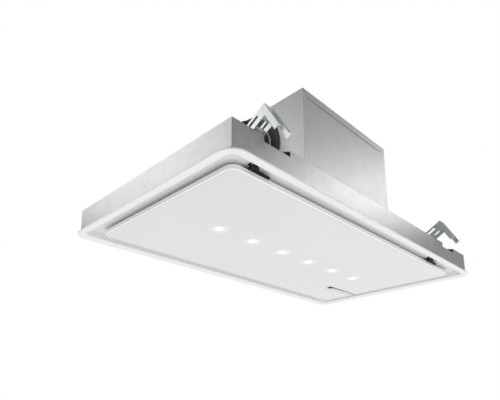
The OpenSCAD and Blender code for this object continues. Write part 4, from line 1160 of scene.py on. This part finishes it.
@dataclass
class Controls:
    """The strip with its five touch keys and the housing behind it."""

    first_x: float = 302.0
    pitch: float = 13.4
    key_y: float = 103.85
    face_z: float = -0.8
    line: float = 0.55
    ink: float = 0.05
    # The line along a key's near edge, grey painted shade that carries on the slot's dark band, and the lamp sign's
    # rays with their distance out and radius.
    underline: Block = ((-4.7, -3.8, 0.0), (4.7, -2.8, 0.0))
    rays: int = 6
    ray: Pair = (2.4, 0.36)
    # Black sheets in the slot's near and left walls, and a black band on the strip beside them: painted shade, where
    # the slot's walls cast their shadow.
    liner: Tuple[Block, ...] = (((287.7, 95.7, -0.35), (404.5, 95.98, 2.45)),
                                ((287.7, 96.0, -0.35), (287.98, 111.6, 2.45)))
    band: Tuple[Block, ...] = (((288.0, 96.0, -0.56), (404.5, 99.6, -0.45)),
                               ((288.05, 99.3, -0.55), (296.5, 110.5, -0.46)))
    keys: Tuple[Tuple[str, Mark], ...] = (("key_power", Mark.POWER), ("key_slower", Mark.LESS),
                                          ("key_faster", Mark.MORE), ("key_boost", Mark.BOOST),
                                          ("key_light", Mark.LAMP))

    def build(self) -> None:
        """Round the strip, the housing and the keys, lay black painted shade in the slot, and print a sign on each
        key.
        """
        dress(WHITE_ABS, 0.35, strip="control_strip")
        dress(BLACK_NYLON, 0.5, strip_housing="control_housing")
        for name, blocks in (("strip_wall_shade", self.liner), ("strip_shade_band", self.band)):
            shell = bmesh.new()
            for block in blocks:
                boxed(*block, shell)
            # painted shade: black where the slot's near wall and left end cast shadow
            place(name, into_mesh(shell, name), BLACK_NYLON, like="control_strip")
        for order, (node, mark) in enumerate(self.keys):
            dress(WHITE_ABS, 0.35, **{node + "_cap": node})
            centre = (self.first_x + order * self.pitch, self.key_y)
            place(node + "_sign", self.sign(mark, centre), SIGN_INK_AND_SHADE, like=node)

    def sign(self, mark: Mark, centre: Pair) -> Mesh:
        """Draw a sign, and the painted shade line along its key's edge, as a thin printed layer.

        Args:
            mark: which sign.
            centre: the key's middle in millimetres.
        Returns:
            The layer.
        """
        shell, (x, y), low = bmesh.new(), centre, self.face_z - self.ink
        # the first block is painted shade along the key's edge; the rest are the sign's printed bars
        for (left, near, under), (right, far, _) in (self.underline, *mark.bars(self.line / 2)):
            boxed((x + left, y + near, low + under), (x + right, y + far, self.face_z), shell)
        if mark.ring():
            radius, sides = mark.ring()
            outer = radius + self.line
            turned([(radius, 0.0), (outer, 0.0), (outer, self.ink), (radius, self.ink)], sides, (x, y, low),
                   shell=shell)
        if mark is Mark.LAMP:
            reach, dot = self.ray
            for angle in [math.tau * turn / self.rays for turn in range(self.rays)]:
                turned([(0.0, 0.0), (dot, 0.0), (dot, self.ink), (0.0, self.ink)], 8,
                       (x + reach * math.cos(angle), y + reach * math.sin(angle), low), shell=shell)
        return into_mesh(shell, mark.value)


@dataclass
class Cover:
    """The hinged glass cover with its back pan, lamps, strikes and hinges."""

    half_x: float = 405.0
    half_y: float = 205.0
    corner: float = 18.0
    slot_x: float = 275.0
    slot_y: Pair = (92.0, 112.0)
    slot_edge: float = 0.8
    slot_run: float = 2.0
    border_low: float = -1.0
    hole_r: float = 10.3
    hole_chamfer: Pair = (0.5, 0.4)
    lamp_xs: Tuple[float, ...] = (-250.0, -150.0, -50.0, 50.0, 150.0, 250.0)
    section: Tuple[Pair, ...] = (
        (0.0, 1.5), (0.0, -1.0), (0.25, -1.45), (0.8, -1.8), (4.2, -2.3), (4.9, -1.2), (5.6, -2.5))
    band: Tuple[Pair, ...] = ((0.35, -1.3), (0.75, -1.86), (4.15, -2.38), (4.5, -1.6))
    hinge_xs: Tuple[float, ...] = (-372.5, 269.5)
    hinge_screw: Point = (-6.0, -193.5, 15.5)
    hinge_step: float = 9.0
    lens: Tuple[Pair, ...] = (
        (0.0, 2.5), (12.0, 2.5), (12.0, 1.5), (10.0, 1.5), (10.0, -1.3), (9.7, -1.6), (8.9, -1.75), (8.6, -1.6),
        (8.2, -1.72), (5.0, -2.05), (0.0, -2.2))
    hub: Tuple[Pair, ...] = (
        (10.0, 2.5), (12.0, 2.5), (12.0, 12.0), (11.6, 12.5), (0.0, 12.5), (0.0, 7.5), (10.0, 7.5))
    fin: Block = ((11.8, -0.5, 2.5), (15.0, 0.5, 12.3))
    fin_count: int = 24
    lens_sides: int = 48

    def build(self) -> None:
        """Build the glass and its lamps, and round the steel behind them."""
        place("glass_panel", self.glass(), WHITE_GLASS, "cover_glass")
        place("glass_border", self.border(), GROUND_GLASS, like="cover_glass")
        dress(TRAY_COAT, 0.4, glass_back_pan="cover_back")
        place("lamp_lenses", self.lenses(), LENS, "light_lenses")
        self.sinks()
        dress(BRIGHT, 0.3, catch_strikes="cover_strikes")
        dress(FERRITE, 0.6, catch_magnets="cover_magnets")
        dress(BLACK_COAT, 0.35, hinge_feet="hinge_brackets", hinge_plates="hinge_leaves")
        row = Screws("hinge_screws", BLACK_COAT)
        shift, y, z = self.hinge_screw
        heads = [row.heads(2, 41, (x + shift, y, z), (self.hinge_step, 0.0, 0.0), size=(2.4, 1.4))
                 for x in self.hinge_xs]
        place("hinge_foot_screws", joined(heads, "heads"), BLACK_COAT, like="hinge_brackets")

    def outline(self, inset: float) -> list:
        """Lay out the cover's edge with its open slot.

        Args:
            inset: distance in from the outer edge, in millimetres.
        Returns:
            Its (x, y) points.
        """
        notch = min(inset, self.slot_edge)
        points = rounded(self.half_x - inset, self.half_y - inset, self.corner - inset)
        low, high = self.slot_y[0] - notch, self.slot_y[1] + notch
        steps = len(points) // 4
        edge, end = self.half_x - inset, self.slot_x - notch
        slot = [(edge, low - self.slot_run), (edge, low), (end, low), (end, high), (edge, high),
                (edge, high + self.slot_run)]
        return points[:steps] + slot + points[steps:]

    def level(self, inset: float, z: float, in_slot: float) -> list:
        """Lay out one turn of the cover's edge in three dimensions.

        Args:
            inset: distance in from the outer edge, in millimetres.
            z: its height.
            in_slot: its height in the slot's walls, where the border and the groove end.
        Returns:
            Its (x, y, z) points.
        """
        low, high = self.slot_y
        return [(x, y, in_slot if abs(y - (low + high) / 2) < (high - low) / 2 + self.slot_run / 2 else z)
                for x, y in self.outline(inset)]

    def border(self) -> Mesh:
        """Lay the ground band between the glass's edge and its groove."""
        return into_mesh(looped([self.level(inset, z, self.border_low) for inset, z in self.band]), "border")

    def glass(self) -> Mesh:
        """Skin the glass: a bevelled edge, a fine groove, a flat face and six chamfered lamp holes.

        Returns:
            The glass.
        """
        (_, back), (_, face) = self.section[0], self.section[-1]
        shell = looped([self.level(inset, z, z if inset <= self.slot_edge else face) for inset, z in self.section],
                       closed=False)
        wider, deeper = self.hole_chamfer
        angles = [math.tau * i / self.lens_sides for i in range(self.lens_sides)]
        for x in self.lamp_xs:
            looped([[(x + r * math.cos(a), r * math.sin(a), z) for a in angles] for r, z in (
                (self.hole_r, back), (self.hole_r, face + deeper), (self.hole_r + wider, face))], shell, closed=False)
        bmesh.ops.remove_doubles(shell, verts=shell.verts[:], dist=MERGE)
        for z in (back, face):
            open_edges = [e for e in shell.edges if e.is_boundary
                          and all(abs(v.co.z - z * MM) < MERGE for v in e.verts)]
            bmesh.ops.triangle_fill(shell, use_beauty=True, use_dissolve=False, edges=open_edges)
        return into_mesh(shell, "glass", 4.0)

    def lenses(self) -> Mesh:
        """Turn the lenses: a flange behind the glass and a shallow dome that ends just inside its face.

        Returns:
            The six lenses.
        """
        shell = bmesh.new()
        for x in self.lamp_xs:
            turned(self.lens, self.lens_sides, (x, 0.0, 0.0), shell=shell)
        return into_mesh(shell, "lenses", 50.0)

    def sinks(self) -> None:
        """Turn the hubs of the heat sinks and stand fins round them."""
        finned = Ring("sink_fins", CAST)
        parts = []
        for x in self.lamp_xs:
            parts.append(into_mesh(turned(self.hub, 32, (x, 0.0, 0.0)), "hub"))
            parts.append(finned.grow(into_mesh(boxed(*self.fin), "fin"), Count=self.fin_count,
                                     Centre=metres(x, 0.0, 0.0)))
        place("lamp_heat_sinks", joined(parts, "sinks"), CAST, "light_sinks")


@dataclass
class Carried:
    """The frame nodes that keep their own mesh and only take a finish."""

    plain: Dict[Finish, Tuple[str, ...]] = field(default_factory=lambda: {
        GREY_ABS: ("fan_wheel",),
        BRIGHT: ("flap_pins", "fan_shaft", "hinge_pins"),
        FILTER_ALUMINIUM: ("filter_mesh_left", "filter_mesh_right"),
    })

    def build(self) -> None:
        """Give each node its finish."""
        for finish, names in self.plain.items():
            for name in names:
                node = frame["nodes"][name]
                node.data.materials.clear()
                node.data.materials.append(finish.build())
                LOG.info("%s: %s", name, finish.name)


@dataclass
class Studio:
    """The camera, the floor, the lamps and the white surroundings."""

    eye: Point = (-0.86887, -0.70305, -0.39131)
    yaw: float = -45.27
    pitch: float = 14.0
    focal_px: float = 480.5
    centre_px: float = 301.83
    width_px: float = 500.0
    height_px: float = 400.0
    floor_z: float = -2.2
    floor_glow: float = 0.575
    floor_seen: float = 0.72
    # The heights between which the surround fades, then its strength at each: in its light, and in mirrors.
    light: Tuple[float, ...] = (-0.25, 0.35, 0.95, 0.3)
    mirrored: Tuple[float, ...] = (-0.1, 0.3, 1.0, 0.33)
    floor_reach: float = 40.0
    floor_sides: int = 96
    soft_boxes: Dict[str, Tuple[Point, Point, Pair, float]] = field(default_factory=lambda: {
        "soft_box_right": ((0.58, -0.66, 0.44), (0.02, -0.2, 0.06), (0.64, 0.24), 1.05),
        "soft_box_left": ((-0.8, 0.5, 0.47), (-0.3, 0.0, 0.12), (0.62, 0.52), 1.45),
        "soft_box_low": ((0.1, -1.3, -0.75), (0.0, 0.1, 0.0), (1.2, 0.4), 2.0),
    })

    def camera(self) -> None:
        """Stand the camera where the photograph was taken from, tipped and shifted upwards."""
        data = bpy.data.cameras.new("camera")
        data.sensor_width = 36.0
        data.lens = self.focal_px / self.width_px * data.sensor_width
        data.shift_y = (self.centre_px - self.height_px / 2) / self.width_px
        data.clip_start, data.clip_end = 0.01, 60.0
        camera = new_object("camera", data)
        camera.location = self.eye
        camera.rotation_euler = (math.radians(90.0 + self.pitch), 0.0, math.radians(self.yaw))
        bpy.context.scene.camera = camera

    def lamps(self) -> None:
        """Hang the soft boxes: in front on the right, behind on the left, and a weak one low in front."""
        for name, (spot, aim, size, power) in self.soft_boxes.items():
            data = bpy.data.lights.new(name, "AREA")
            data.shape = "RECTANGLE"
            data.size, data.size_y = size
            data.energy = power
            lamp = new_object(name, data)
            lamp.location = spot
            lamp.rotation_euler = (Vector(aim) - Vector(spot)).to_track_quat("-Z", "Y").to_euler()
            lamp.visible_camera = False

    def floor(self) -> None:
        """Lay the pale floor, white to the camera and in reflections, which keeps the hood's shadow."""
        mesh = bpy.data.meshes.new("floor")
        angles = [math.tau * i / self.floor_sides for i in range(self.floor_sides)]
        mesh.from_pydata([(self.floor_reach * math.cos(a), self.floor_reach * math.sin(a), self.floor_z)
                          for a in angles], [], [tuple(range(self.floor_sides))])
        floor = new_object("floor", mesh)
        material, tree = new_material("studio_floor")
        path = add_node(tree, "ShaderNodeLightPath")
        seen = add_node(tree, "ShaderNodeMath", {
            "operation": "MAXIMUM", 0: path["Is Camera Ray"], 1: path["Is Glossy Ray"]})[0]
        strength = add_node(tree, "ShaderNodeMix", {
            "data_type": "FLOAT", 0: seen, 2: self.floor_glow, 3: self.floor_seen})[0]
        matt = add_node(tree, "ShaderNodeBsdfDiffuse", {"Color": linear("F4F4F3")})[0]
        glow = add_node(tree, "ShaderNodeEmission", {"Strength": strength})[0]
        both = add_node(tree, "ShaderNodeAddShader", {0: matt, 1: glow})[0]
        add_node(tree, "ShaderNodeOutputMaterial", {"Surface": both})
        mesh.materials.append(material)

    def surroundings(self) -> None:
        """Make the world white to the camera, and a soft gradient from pale below to grey above for light."""
        world = bpy.data.worlds.new("studio_world")
        bpy.context.scene.world = world
        world.use_nodes = True
        tree = world.node_tree
        tree.nodes.clear()
        path = add_node(tree, "ShaderNodeLightPath")
        way = add_node(tree, "ShaderNodeTexCoord")["Generated"]
        height = add_node(tree, "ShaderNodeSeparateXYZ", {0: way})["Z"]
        fade, lit = [add_node(tree, "ShaderNodeMapRange", {
            "Value": height, "From Min": low, "From Max": high, "To Min": pale, "To Max": grey,
            "interpolation_type": "SMOOTHSTEP"})["Result"] for low, high, pale, grey in (self.light, self.mirrored)]
        seen = add_node(tree, "ShaderNodeMath", {
            "operation": "MAXIMUM", 0: path["Is Camera Ray"], 1: path["Is Transmission Ray"]})[0]
        soft = add_node(tree, "ShaderNodeMix", {
            "data_type": "FLOAT", 0: path["Is Glossy Ray"], 2: fade, 3: lit})[0]
        strength = add_node(tree, "ShaderNodeMix", {"data_type": "FLOAT", 0: seen, 2: soft, 3: 1.0})[0]
        shader = add_node(tree, "ShaderNodeBackground", {"Color": linear("FFFFFF"), "Strength": strength})[0]
        add_node(tree, "ShaderNodeOutputWorld", {"Surface": shader})
        bpy.context.scene.view_settings.view_transform = "Standard"

    def build(self) -> None:
        """Set up everything that isn't the hood."""
        self.camera()
        self.lamps()
        self.floor()
        self.surroundings()


def main() -> None:
    """Build the hood's sub-assemblies in order, then the studio."""
    logging.basicConfig(level=logging.INFO, format="%(name)s: %(message)s")
    for assembly in (TrimRing(), Recess(), SteelBody(), MotorBox(), DuctPort(), Fan(), Wiring(), Filters(),
                     Clamps(), Cover(), Controls(), Carried()):
        LOG.info("building %s", type(assembly).__name__)
        assembly.build()
    Studio().build()


if __name__ == "__main__":
    main()
